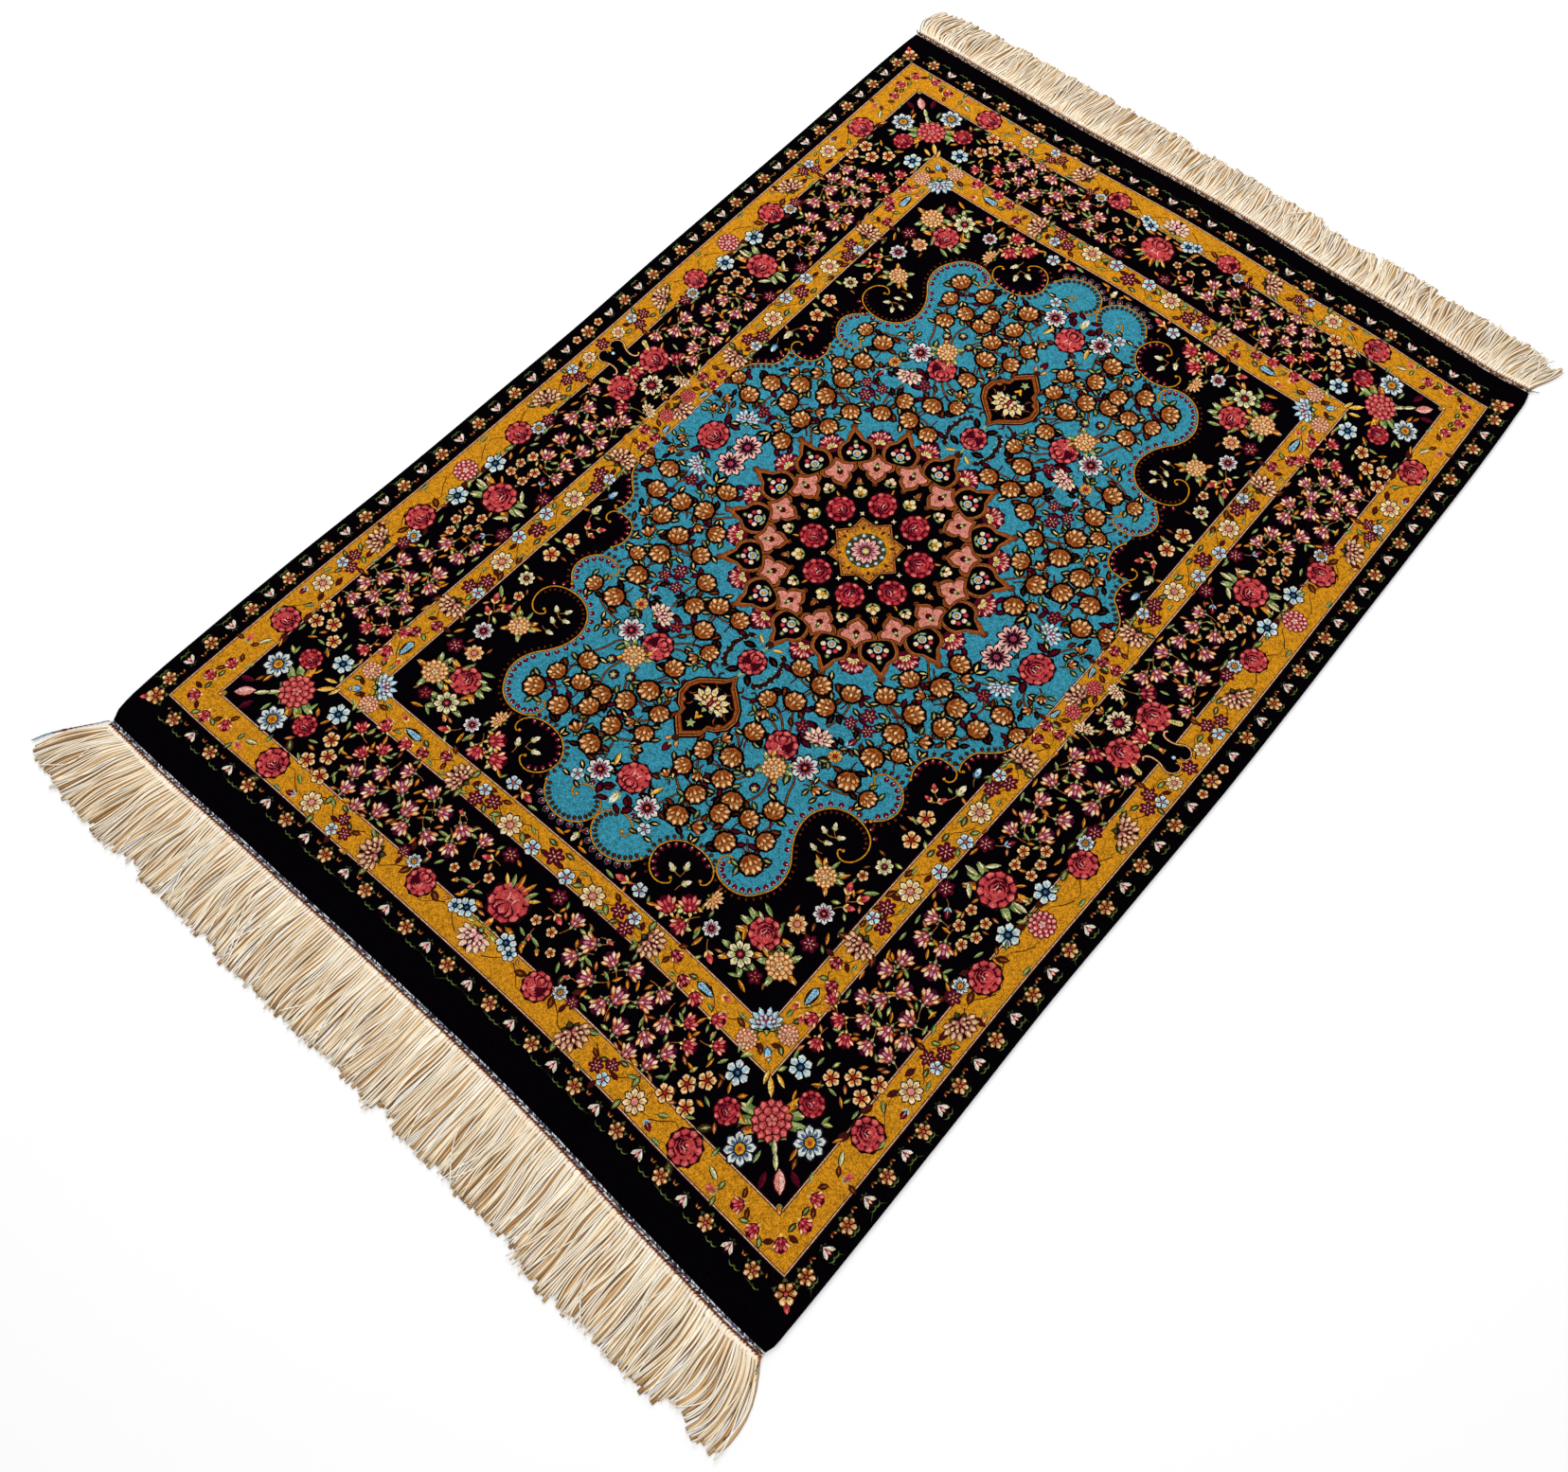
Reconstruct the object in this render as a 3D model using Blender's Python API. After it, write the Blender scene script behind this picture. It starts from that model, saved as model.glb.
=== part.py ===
"""A hand-knotted silk carpet lying flat, with a twined band and a knotted fringe at each end.

Metres, +Z up. X runs across the carpet, Y along it, from the near end (-Y) to the far end (+Y).
The origin is the middle of the underside. Nothing is raised from the pile: its pattern is colour alone.
"""

import math

import bmesh
import bpy
import numpy as np

# Driving dimensions
WIDTH = 1.000            # nominal, between the corners
LENGTH = 1.470           # nominal, between the two ends of the pile
PILE_THICKNESS = 0.0040  # foundation and clipped pile together
PILE_SHOULDER = 0.0006   # soft upper and lower edge of the cloth
GAP = 0.0003             # between pieces that are worked onto each other

BAND_WIDTH = 0.0072      # two rows of twining and the thin cord outside them
BAND_THICKNESS = 0.0030
TAIL_WIDTH = 0.0024      # what is left of a band's yarns past the corner
TAIL_TIP = 0.6           # width at a tail's tip as a share of that

STRANDS = 100            # locks in one fringe
ROOT_DEPTH = 0.0022      # the row of knots that holds the locks together
LOCK_FILL = 0.60         # share of a lock's pitch that the lock fills at its root
LOCK_TIP = 0.72          # width at the tip as a share of that at the root
LOCK_HEIGHTS = (0.0024, 0.0024, 0.0021, 0.0018, 0.0014)  # at the root and at each section to the tip
FRINGE_INSET = 0.0020    # the fringe starts this far in from the carpet's corners
UNEVEN_TIPS = (
    # share of a lock's length, radians from one lock to the next
    (0.022, 2.4),
    (0.016, 5.1),
)

SIDE_STATIONS = 48       # outline points along a long side, closer together near the corners
END_STATIONS = STRANDS   # outline points along an end, one for each lock

# The long sides aren't straight: X of the left and the right edge at each nominal Y.
SIDES = (
    # y,      left,    right
    (-0.735, -0.5020, 0.4990),
    (-0.727, -0.5070, 0.5018),
    (-0.712, -0.5105, 0.5025),
    (-0.680, -0.5125, 0.5032),
    (-0.600, -0.5125, 0.5040),
    (-0.450, -0.5093, 0.5043),
    (-0.300, -0.5032, 0.5042),
    (-0.150, -0.5006, 0.5080),
    (0.000, -0.4984, 0.5114),
    (0.150, -0.5002, 0.5118),
    (0.300, -0.5005, 0.5106),
    (0.450, -0.5003, 0.5098),
    (0.600, -0.5014, 0.5085),
    (0.690, -0.5014, 0.5056),
    (0.724, -0.5003, 0.5036),
    (0.735, -0.4994, 0.5010),
)
SIDE_LEFT, SIDE_RIGHT = 1, 2

# Nor are the ends: Y at which the pile stops at each nominal X.
ENDS = (
    # x,     near,    far
    (-0.50, -0.7340, 0.7352),
    (-0.40, -0.7336, 0.7358),
    (-0.30, -0.7305, 0.7352),
    (-0.20, -0.7284, 0.7350),
    (-0.10, -0.7256, 0.7382),
    (0.00, -0.7242, 0.7412),
    (0.10, -0.7238, 0.7396),
    (0.20, -0.7262, 0.7352),
    (0.30, -0.7312, 0.7346),
    (0.40, -0.7350, 0.7286),
    (0.45, -0.7368, 0.7266),
    (0.50, -0.7366, 0.7300),
)
END_NEAR, END_FAR = 1, 2
END_SIDES = {
    # end: (share of the cloth's length, which way along Y is outward)
    "near": (0.0, -1.0),
    "far": (1.0, 1.0),
}

# How the near locks lie: sideways lean half way along and at the tip, and reach away from the pile.
NEAR_LOCKS = (
    # x,     mid_lean, tip_lean, reach
    (-0.50, -0.0230, -0.0470, 0.0790),
    (-0.46, -0.0185, -0.0330, 0.0860),
    (-0.40, -0.0105, -0.0150, 0.0900),
    (-0.33, -0.0010, -0.0020, 0.0930),
    (-0.25, -0.0010, 0.0020, 0.0950),
    (-0.17, -0.0020, 0.0000, 0.0950),
    (-0.08, 0.0000, 0.0030, 0.0980),
    (0.00, -0.0010, -0.0040, 0.0960),
    (0.10, -0.0015, 0.0000, 0.0980),
    (0.18, 0.0020, 0.0050, 0.0960),
    (0.27, 0.0000, -0.0010, 0.0950),
    (0.36, 0.0010, 0.0010, 0.0930),
    (0.44, 0.0060, 0.0060, 0.0890),
    (0.47, 0.0090, 0.0140, 0.0850),
    (0.50, 0.0130, 0.0250, 0.0810),
)

# The far locks are shorter and more tousled.
FAR_LOCKS = (
    # x,     mid_lean, tip_lean, reach
    (-0.50, -0.0150, -0.0070, 0.0590),
    (-0.45, -0.0080, 0.0010, 0.0640),
    (-0.38, 0.0030, 0.0060, 0.0660),
    (-0.30, -0.0010, -0.0020, 0.0700),
    (-0.22, 0.0015, 0.0050, 0.0680),
    (-0.14, 0.0040, 0.0060, 0.0700),
    (-0.05, 0.0005, 0.0000, 0.0650),
    (0.04, 0.0000, -0.0020, 0.0620),
    (0.12, -0.0020, -0.0060, 0.0630),
    (0.20, 0.0010, -0.0030, 0.0600),
    (0.28, -0.0030, -0.0080, 0.0630),
    (0.36, -0.0040, -0.0060, 0.0630),
    (0.44, 0.0035, 0.0070, 0.0640),
    (0.50, 0.0110, 0.0170, 0.0500),
)
LOCK_MID, LOCK_TIP_LEAN, LOCK_REACH = 1, 2, 3

# Loose yarn ends of the bands past the corners: each point's step from the band's end.
NEAR_TAILS = {
    "left": (
        # outward (away from the middle), away from the pile
        (0.0060, 0.0010),
        (0.0130, 0.0100),
        (0.0240, 0.0240),
        (0.0380, 0.0430),
        (0.0490, 0.0600),
        (0.0550, 0.0740),
    ),
    "right": (
        (0.0030, 0.0030),
        (0.0060, 0.0100),
        (0.0090, 0.0170),
        (0.0130, 0.0240),
    ),
}
FAR_TAILS = {
    "left": (
        (0.0040, 0.0010),
        (0.0075, 0.0030),
        (0.0105, 0.0055),
    ),
    "right": (
        (0.0040, 0.0010),
        (0.0080, 0.0040),
        (0.0130, 0.0070),
    ),
}

MATERIALS = {
    # name: (colour, roughness)
    "silk_pile": ((0.191, 0.109, 0.066, 1.0), 0.55),
    "twined_yarn": ((0.300, 0.270, 0.250, 1.0), 0.70),
    "warp_fringe": ((0.780, 0.680, 0.520, 1.0), 0.65),
}


def clear_scene():
    for item in list(bpy.data.objects):
        bpy.data.objects.remove(item, do_unlink=True)


def make_material(name):
    colour, roughness = MATERIALS[name]
    material = bpy.data.materials.new(name)
    material.use_nodes = True
    shader = material.node_tree.nodes["Principled BSDF"]
    shader.inputs["Base Color"].default_value = colour
    shader.inputs["Roughness"].default_value = roughness
    shader.inputs["Metallic"].default_value = 0.0
    return material


def read_smoothly(rows, column, at):
    """A table's column at the given places in its first column, as a smooth cubic through the rows."""
    places = np.array([row[0] for row in rows])
    values = np.array([row[column] for row in rows])
    slopes = np.gradient(values, places)
    at = np.clip(np.asarray(at, float), places[0], places[-1])
    i = np.clip(np.searchsorted(places, at, side="right") - 1, 0, len(rows) - 2)
    span = places[i + 1] - places[i]
    t = (at - places[i]) / span
    return (
        values[i] * (1 + 2 * t) * (1 - t) ** 2
        + slopes[i] * span * t * (1 - t) ** 2
        + values[i + 1] * t * t * (3 - 2 * t)
        + slopes[i + 1] * span * t * t * (t - 1)
    )


def on_cloth(u, v):
    """The point (x, y) of the uneven cloth at shares u of its width and v of its length."""
    u, v = np.broadcast_arrays(np.asarray(u, float), np.asarray(v, float))
    across, along = (u - 0.5) * WIDTH, (v - 0.5) * LENGTH
    left = read_smoothly(SIDES, SIDE_LEFT, along)
    right = read_smoothly(SIDES, SIDE_RIGHT, along)
    near = read_smoothly(ENDS, END_NEAR, across)
    far = read_smoothly(ENDS, END_FAR, across)
    return np.stack([left + (right - left) * u, near + (far - near) * v], axis=-1)


def cloth_outline():
    """Round the cloth anticlockwise from its near left corner."""
    u = np.linspace(0.0, 1.0, END_STATIONS + 1)[:-1]
    v = 0.5 - 0.5 * np.cos(np.pi * np.linspace(0.0, 1.0, SIDE_STATIONS + 1)[:-1])
    return np.concatenate(
        [on_cloth(u, 0.0), on_cloth(1.0, v), on_cloth(1.0 - u, 1.0), on_cloth(0.0, 1.0 - v)]
    )


def tail_points(corner, steps, side, outward):
    return np.array([corner + (side * away, outward * out) for away, out in steps])


def band_outline(end, tails):
    """A ribbon along the pile's edge, narrowing to the tails of its yarns at both ends."""
    share, outward = END_SIDES[end]
    edge = on_cloth(np.linspace(0.0, 1.0, END_STATIONS + 1), share)
    middle = edge + (0.0, outward * (GAP + BAND_WIDTH / 2))
    left = tail_points(middle[0], tails["left"], -1.0, outward)
    right = tail_points(middle[-1], tails["right"], 1.0, outward)
    path = np.concatenate([left[::-1], middle, right])
    half = np.full(len(path), BAND_WIDTH / 2)
    half[: len(left)] = TAIL_WIDTH / 2
    half[len(path) - len(right):] = TAIL_WIDTH / 2
    half[[0, -1]] *= TAIL_TIP
    along = np.gradient(path, axis=0)
    along /= np.linalg.norm(along, axis=1, keepdims=True)
    along[len(left): len(path) - len(right)] = (1.0, 0.0)
    across = np.stack([-along[:, 1], along[:, 0]], axis=1) * half[:, None]
    return np.concatenate([path - across, (path + across)[::-1]])


def flat_piece(name, outline, thickness, shoulder, material, collection):
    """A flat solid on the floor: a filled outline with a small chamfer round both faces."""
    curve = bpy.data.curves.new(name, "CURVE")
    curve.dimensions = "2D"
    curve.fill_mode = "BOTH"
    curve.extrude = thickness / 2 - shoulder
    curve.bevel_depth = shoulder
    curve.bevel_resolution = 0
    curve.offset = -shoulder
    spline = curve.splines.new("POLY")
    spline.points.add(len(outline) - 1)
    for point, (x, y) in zip(spline.points, outline, strict=True):
        point.co = (x, y, 0.0, 1.0)
    spline.use_cyclic_u = True
    piece = bpy.data.objects.new(name, curve)
    piece.location.z = thickness / 2
    curve.materials.append(material)
    collection.objects.link(piece)
    return piece


def lock_route(rows, at, outward):
    """Where each lock runs: sideways and outward steps at each section from root to tip."""
    sections = len(LOCK_HEIGHTS) - 1
    share = np.linspace(0.0, 1.0, sections + 1)
    columns = (LOCK_MID, LOCK_TIP_LEAN, LOCK_REACH)
    mid, tip, reach = (read_smoothly(rows, column, at)[:, None] for column in columns)
    lean = mid * 4 * share * (1 - share) + tip * share * (2 * share - 1)
    return np.stack([lean, outward * reach * share], axis=-1)


def tip_wobble(count):
    """Cut tips are uneven: two sine waves that no neighbours share lengthen or shorten the locks."""
    lock = np.arange(count)
    return 1.0 + sum(share * np.sin(lock * turn) for share, turn in UNEVEN_TIPS)


def lock_bounds():
    """Where each lock's two sides meet the knots, as shares of the cloth's width, left to right."""
    inset = FRINGE_INSET / WIDTH
    pitch = (1.0 - 2 * inset) / STRANDS
    middles = inset + pitch * (np.arange(STRANDS) + 0.5)
    half = pitch * LOCK_FILL / 2
    return np.stack([middles - half, middles + half], axis=1).ravel()


def knot_strip(shape, inner, outer, outward):
    """A low bar along the end, cut across at every lock's sides."""
    cells = len(inner) - 1
    bmesh.ops.create_cube(shape, size=1.0)
    long_edges = [e for e in shape.edges if abs(e.verts[0].co.x - e.verts[1].co.x) > 0.5]
    bmesh.ops.subdivide_edges(shape, edges=long_edges, cuts=cells - 1, use_grid_fill=True)
    for vert in shape.verts:
        k = round((vert.co.x + 0.5) * cells)
        x, y = outer[k] if vert.co.y * outward > 0 else inner[k]
        vert.co = (x, y, LOCK_HEIGHTS[0] if vert.co.z > 0 else 0.0)
    shape.normal_update()


def left_to_right(faces):
    return sorted(faces, key=lambda face: face.calc_center_median().x)


def fringe(name, end, rows, material, collection):
    """A strip of knots with a square-section lock grown out of every second cell of its outer face."""
    share, outward = END_SIDES[end]
    inner = on_cloth(lock_bounds(), share) + (0.0, outward * (2 * GAP + BAND_WIDTH))
    outer = inner + (0.0, outward * ROOT_DEPTH)
    shape = bmesh.new()
    knot_strip(shape, inner, outer, outward)

    fronts = left_to_right([f for f in shape.faces if f.normal.y * outward > 0.7])[0::2]
    starts = (outer[0::2] + outer[1::2]) / 2
    halves = (outer[1::2, 0] - outer[0::2, 0]) / 2
    routes = lock_route(rows, starts[:, 0], outward) * tip_wobble(STRANDS)[:, None, None]
    sections = len(LOCK_HEIGHTS) - 1
    for section in range(1, sections + 1):
        fronts = left_to_right(bmesh.ops.extrude_discrete_faces(shape, faces=fronts)["faces"])
        thin = 1.0 + (LOCK_TIP - 1.0) * section / sections
        for face, start, half, route in zip(fronts, starts, halves, routes, strict=True):
            heading = route[section] - route[section - 1]
            heading = heading / math.hypot(*heading)
            across = np.array([heading[1], -heading[0]]) * outward * half * thin
            middle = face.calc_center_median()
            for vert in face.verts:
                side = 1.0 if vert.co.x > middle.x else -1.0
                x, y = start + route[section] + side * across
                vert.co = (x, y, LOCK_HEIGHTS[section] if vert.co.z > middle.z else 0.0)
    bmesh.ops.recalc_face_normals(shape, faces=shape.faces)

    mesh = bpy.data.meshes.new(name)
    shape.to_mesh(mesh)
    shape.free()
    mesh.materials.append(material)
    piece = bpy.data.objects.new(name, mesh)
    collection.objects.link(piece)
    return piece


def build():
    clear_scene()
    collection = bpy.data.collections.new("persian_rug")
    bpy.context.scene.collection.children.link(collection)
    pile, yarn, warp = (make_material(name) for name in MATERIALS)
    flat_piece("carpet", cloth_outline(), PILE_THICKNESS, PILE_SHOULDER, pile, collection)
    for end, tails, rows in (("near", NEAR_TAILS, NEAR_LOCKS), ("far", FAR_TAILS, FAR_LOCKS)):
        flat_piece("end_band_" + end, band_outline(end, tails), BAND_THICKNESS, 0.0, yarn, collection)
        fringe("fringe_" + end, end, rows, warp, collection)


build()
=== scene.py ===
import bpy
import numpy as np
from mathutils import Matrix, Vector
from mathutils.geometry import delaunay_2d_cdt


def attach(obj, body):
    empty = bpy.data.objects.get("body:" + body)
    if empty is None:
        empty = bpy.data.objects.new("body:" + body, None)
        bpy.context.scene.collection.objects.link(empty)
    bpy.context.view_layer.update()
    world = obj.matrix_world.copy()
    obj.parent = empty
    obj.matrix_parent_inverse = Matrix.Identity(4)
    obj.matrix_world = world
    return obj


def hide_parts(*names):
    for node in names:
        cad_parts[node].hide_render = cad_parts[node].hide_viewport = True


# A hand-knotted silk carpet lying flat. Metres, z up, x across, y from the near end to the far end.
# The pattern is knotted as a mosaic of flat colours: drawn once for a quarter, turned over for the others.

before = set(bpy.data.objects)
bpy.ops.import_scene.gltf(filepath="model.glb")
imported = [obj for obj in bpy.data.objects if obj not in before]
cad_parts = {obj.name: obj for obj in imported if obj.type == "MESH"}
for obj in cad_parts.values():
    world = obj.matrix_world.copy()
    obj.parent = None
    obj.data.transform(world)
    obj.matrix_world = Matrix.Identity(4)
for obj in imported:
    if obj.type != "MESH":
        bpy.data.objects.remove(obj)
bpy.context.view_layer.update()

# the cloth's own shape: its sides and ends aren't straight; sides, ends and slip were measured on the photo
rug = {
    # the drawing's width and its two half lengths, before the cloth pulls it out of true
    "width": 1.010,
    "near": 0.7370,
    "far": 0.7275,
    "long": 1.470,         # the whole pile on the cloth
    "thick": 0.0040,
    "sideSlip": 0.0900,    # the middles of the long sides slide further, by this times the square of x
    "sideFade": 0.1900,
    "bow": 0.0040,         # the middle of the cloth lies this far to the right
    "pullFrom": 0.2,       # from here the drawing is pulled towards the wavy ends, over pullOver
    "pullOver": 0.3,
    "endSlip": 0.007,      # the slip at the ends, which the pull takes off again
    "shortFrom": 0.705,    # the plain black beyond this is shorter at the far end
    "sides": [  # y, left, right
        (-0.735, -0.5020, 0.4990), (-0.727, -0.5070, 0.5018), (-0.712, -0.5105, 0.5025),
        (-0.680, -0.5125, 0.5032), (-0.600, -0.5125, 0.5040), (-0.450, -0.5093, 0.5043),
        (-0.300, -0.5032, 0.5042), (-0.150, -0.5006, 0.5080), (0.000, -0.4984, 0.5114),
        (0.150, -0.5002, 0.5118), (0.300, -0.5005, 0.5106), (0.450, -0.5003, 0.5098),
        (0.600, -0.5014, 0.5085), (0.690, -0.5014, 0.5056), (0.724, -0.5003, 0.5036),
        (0.735, -0.4994, 0.5010)],
    "ends": [  # x, near, far
        (-0.50, -0.7340, 0.7352), (-0.40, -0.7336, 0.7358), (-0.30, -0.7305, 0.7352),
        (-0.20, -0.7284, 0.7350), (-0.10, -0.7256, 0.7382), (0.00, -0.7242, 0.7412),
        (0.10, -0.7238, 0.7396), (0.20, -0.7262, 0.7352), (0.30, -0.7312, 0.7346),
        (0.40, -0.7350, 0.7286), (0.45, -0.7368, 0.7266), (0.50, -0.7366, 0.7300)],
    "slip": [  # how far the drawing slides towards the far end, at each distance from the middle
        (0.00, 0.0010), (0.10, 0.0050), (0.20, 0.0075), (0.40, 0.0075), (0.516, 0.0100),
        (0.5515, 0.0115), (0.600, 0.0100), (0.675, 0.0070), (0.740, 0.0070)],
}


def readSmoothly(rows, column, at):
    # a table's column at any place in its first column: cubic Hermite with gradient slopes
    table = np.array(rows, float)
    places, values = table[:, 0], table[:, column]
    slopes = np.gradient(values, places)
    at = np.clip(np.asarray(at, float), places[0], places[-1])
    i = np.clip(np.searchsorted(places, at, side="right") - 1, 0, len(places) - 2)
    span = places[i + 1] - places[i]
    t = (at - places[i]) / span
    return (values[i] * (1 + 2 * t) * (1 - t) ** 2 + slopes[i] * span * t * (1 - t) ** 2
            + values[i + 1] * t * t * (3 - 2 * t) + slopes[i + 1] * span * t * t * (t - 1))


def smoothStep(t):
    # 0 to 1 by 3 t squared less 2 t cubed, level at both ends
    t = np.clip(t, 0.0, 1.0)
    return t * t * (3 - 2 * t)


def toCloth(x, y):
    # drawing to cloth: x is a share of the local width plus a bow, y slides and follows the wavy ends
    share = x / rug["width"]
    along = (y + rug["near"]) / (rug["near"] + rug["far"]) * rug["long"] - rug["long"] / 2
    left, right = (readSmoothly(rug["sides"], column, along) for column in (1, 2))
    near, far = (readSmoothly(rug["ends"], column, share) for column in (1, 2))
    slip = readSmoothly(rug["slip"], 1, np.abs(y))
    slip = slip + rug["sideSlip"] * x ** 2 * np.exp(-(y / rug["sideFade"]) ** 2)
    nearPull = (near + rug["near"] - rug["endSlip"]) * smoothStep((-y - rug["pullFrom"]) / rug["pullOver"])
    farPull = (far - rug["far"] - rug["endSlip"]) * smoothStep((y - rug["pullFrom"]) / rug["pullOver"])
    placeX = (left + right) / 2 + (right - left) * share + rug["bow"] * (1 - (2 * share) ** 2)
    return np.stack([placeX, y + slip + nearPull + farPull], axis=-1)


# the dyer's colours, as seen on the cloth
inks = {  # red, green, blue from 0 to 255
    "black": (5, 3, 6), "verge": (5, 3, 6), "line": (26, 10, 12),
    "umber": (62, 26, 14), "brown": (122, 56, 22), "rust": (150, 74, 28),
    "tan": (174, 104, 50), "peach": (222, 158, 96), "sand": (240, 200, 146),
    "gold": (206, 138, 28), "amber": (228, 158, 40), "straw": (232, 204, 122), "cream": (238, 218, 174),
    "white": (216, 220, 212), "sky": (150, 198, 220), "slate": (70, 104, 132), "navy": (22, 26, 46),
    "turquoise": (57, 141, 163),
    "wine": (66, 8, 24), "maroon": (88, 14, 32), "ruby": (150, 28, 44), "red": (186, 58, 62),
    "rose": (200, 74, 74), "pink": (226, 116, 108), "blush": (240, 184, 172),
    "plum": (70, 16, 36), "mauve": (150, 58, 84), "lilac": (206, 122, 136),
    "orange": (212, 118, 44), "dusk": (186, 122, 100), "salmon": (214, 134, 118),
    "green": (104, 128, 62), "sage": (156, 170, 106), "moss": (62, 72, 34),
    "bandDark": (70, 26, 22), "bandPale": (226, 188, 158),
}
inkNames = list(inks)


def turned(points, degrees):
    # points turned anticlockwise about the origin
    a = np.radians(degrees)
    return points @ np.array([[np.cos(a), np.sin(a)], [-np.sin(a), np.cos(a)]])


def petal(length, width, start=0.0, skew=1.3, blunt=0.75, steps=3):
    # along +y: half width is width/2 * sin(pi * t**skew)**blunt, t from 0 at the start to 1 at the tip
    t = np.linspace(0, 1, steps + 2)[1:-1]
    half = width / 2 * np.sin(np.pi * t ** skew) ** blunt
    side = np.stack([half, start + length * t], axis=1)
    return np.concatenate([[(0.0, start)], side, [(0.0, start + length)], side[::-1] * (-1, 1)])


def disc(radius, steps=8, x=0.0, y=0.0):
    # a round of a few straight sides about (x, y)
    a = np.arange(steps) * 2 * np.pi / steps
    return np.stack([x + radius * np.cos(a), y + radius * np.sin(a)], axis=1)


def scalloped(count, radius, depth, per=3, turn=90.0, sharp=1.0):
    # a ring whose radius is radius * (1 - depth * (1 - |cos|**sharp)) with one lobe to each petal
    a = np.arange(count * per) * 2 * np.pi / (count * per)
    r = radius * (1 - depth * (1 - np.abs(np.cos(count * a / 2)) ** sharp))
    return turned(np.stack([r * np.cos(a), r * np.sin(a)], axis=1), turn)


def spray(ink, shape, angles, moved=(0.0, 0.0)):
    # the same shape turned to each angle, in degrees from +y, about one point
    return [(ink, turned(shape, a) + moved) for a in angles]


def around(count, turn=0.0):
    # even angles of a full turn
    return turn + np.arange(count) * 360.0 / count


def crescent(length, bend, thick):
    # from the origin along +y, arched to +x by bend: an outer and an inner arc
    t = np.linspace(0, 1, 6)
    outer = np.stack([bend * 4 * t * (1 - t), length * t], axis=1)
    inner = np.stack([(bend * 4 - thick * 4) * t * (1 - t), length * t], axis=1)
    return np.concatenate([outer, inner[::-1][1:-1]])


def shell(edge, body, light, length, width, start=0.0, skew=1.7):
    # one petal: a dark rim, its body, and a pale tip
    return [(edge, petal(length + 0.07, width + 0.13, start - 0.02, skew, 0.5, 3)),
            (body, petal(length, width, start, skew, 0.5, 3)),
            (light, petal(length * 0.42, width * 0.62, start + length * 0.50, 1.3, 0.5, 2))]


def scale(edge, body, light, length, width, start=0.0):
    # a broad petal with a thin dark rim and a wide pale end
    return [(edge, petal(length + 0.04, width + 0.08, start - 0.01, 1.9, 0.5, 3)),
            (body, petal(length, width, start, 1.9, 0.5, 3)),
            (light, petal(length * 0.50, width * 0.70, start + length * 0.44, 1.4, 0.5, 2))]


def fanned(shapes, angles, moved=(0.0, 0.0)):
    # a whole petal turned to each angle, one after the other
    return [(ink, turned(points, a) + moved) for a in angles for ink, points in shapes]


def bold(edge, body, light, length, width, start=0.0):
    # a broad petal with a thick dark rim and a pale end, for flowers seen small
    return [(edge, petal(length + 0.11, width + 0.22, start - 0.03, 1.9, 0.45, 3)),
            (body, petal(length, width, start, 1.9, 0.45, 3)),
            (light, petal(length * 0.46, width * 0.60, start + length * 0.50, 1.4, 0.5, 2))]


def rose(dark="wine", mid="red", light="rose", pale="pink", edge="line", heart=(0.12, -0.02)):
    # a frilled rim, then lobed rounds one on the other, each a little aside,
    # so that dark crescents stay between
    shapes = [(edge, scalloped(10, 1.10, 0.10, 2)), (dark, scalloped(10, 0.96, 0.10, 2))]
    shapes += fanned(scale(dark, mid, light, 0.44, 0.50, 0.52), around(5, 10))
    shapes += fanned(scale(dark, light, pale, 0.44, 0.46, 0.52), around(5, 46))
    hx, hy = heart
    rounds = ((dark, 0.70, 0.1, -0.1), (light, 0.63, -0.3, 0.3), (mid, 0.58, 0.1, 0.0),
              (dark, 0.52, 0.5, -0.4), (light, 0.46, 0.8, 0.3), (mid, 0.40, 1.1, -0.1),
              (dark, 0.33, 1.0, -0.6), (light, 0.27, 1.2, 0.1), (dark, 0.17, 1.0, -0.3),
              (pale, 0.10, 1.3, 0.2))
    for k, (ink, size, toHeart, aside) in enumerate(rounds):
        lobed = scalloped(6 if size > 0.3 else 4, size, 0.12, 2, 90 + 23 * k)
        shapes += [(ink, lobed + (hx * toHeart - hy * aside * 1.5, hy * toHeart + 0.10 * aside))]
    shapes += [("blush", turned(crescent(0.52, 0.13, 0.06), 14) + (-0.22 + hx, -0.28 + hy))]
    return shapes + [(pale, turned(crescent(0.40, 0.10, 0.05), 100) + (0.30 + hx, 0.30 + hy))]


def cabbage(dark="wine", mid="red", light="rose", pale="pink", edge="line"):
    # the same flower with its heart up, over three broad petals
    shapes = rose(dark, mid, light, pale, edge, (0.02, 0.20))
    shapes += fanned(bold(dark, light, pale, 0.70, 0.44, 0.0), (-146, 146), (0, 0.0))
    return shapes + fanned(bold(dark, mid, pale, 0.62, 0.46, 0.0), (180,), (0, 0.0))


def leafyWings(shapes, reach=1.62, angles=(60, 84, 108, 252, 276, 300), tones=("green", "sage", "cream")):
    # leaves that spread from behind a flower, each with a pale edge
    wings = []
    for k, a in enumerate(angles):
        dark, light = (tones[0], tones[1]) if k % 3 else ("rust", "amber")
        wings += spray("black", petal(reach + 0.06, 0.56, 0.1, 1.5, 0.8, 3), (a,))
        wings += spray(dark, petal(reach, 0.44, 0.1, 1.5, 0.8, 3), (a,))
        wings += spray(light, petal(reach * 0.66, 0.20, reach * 0.36, 1.3, 0.8, 2), (a - 4,))
        wings += spray(tones[2], petal(reach * 0.30, 0.12, reach * 0.74, 1.0, 0.8, 1), (a + 2,))
    return wings + shapes


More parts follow.
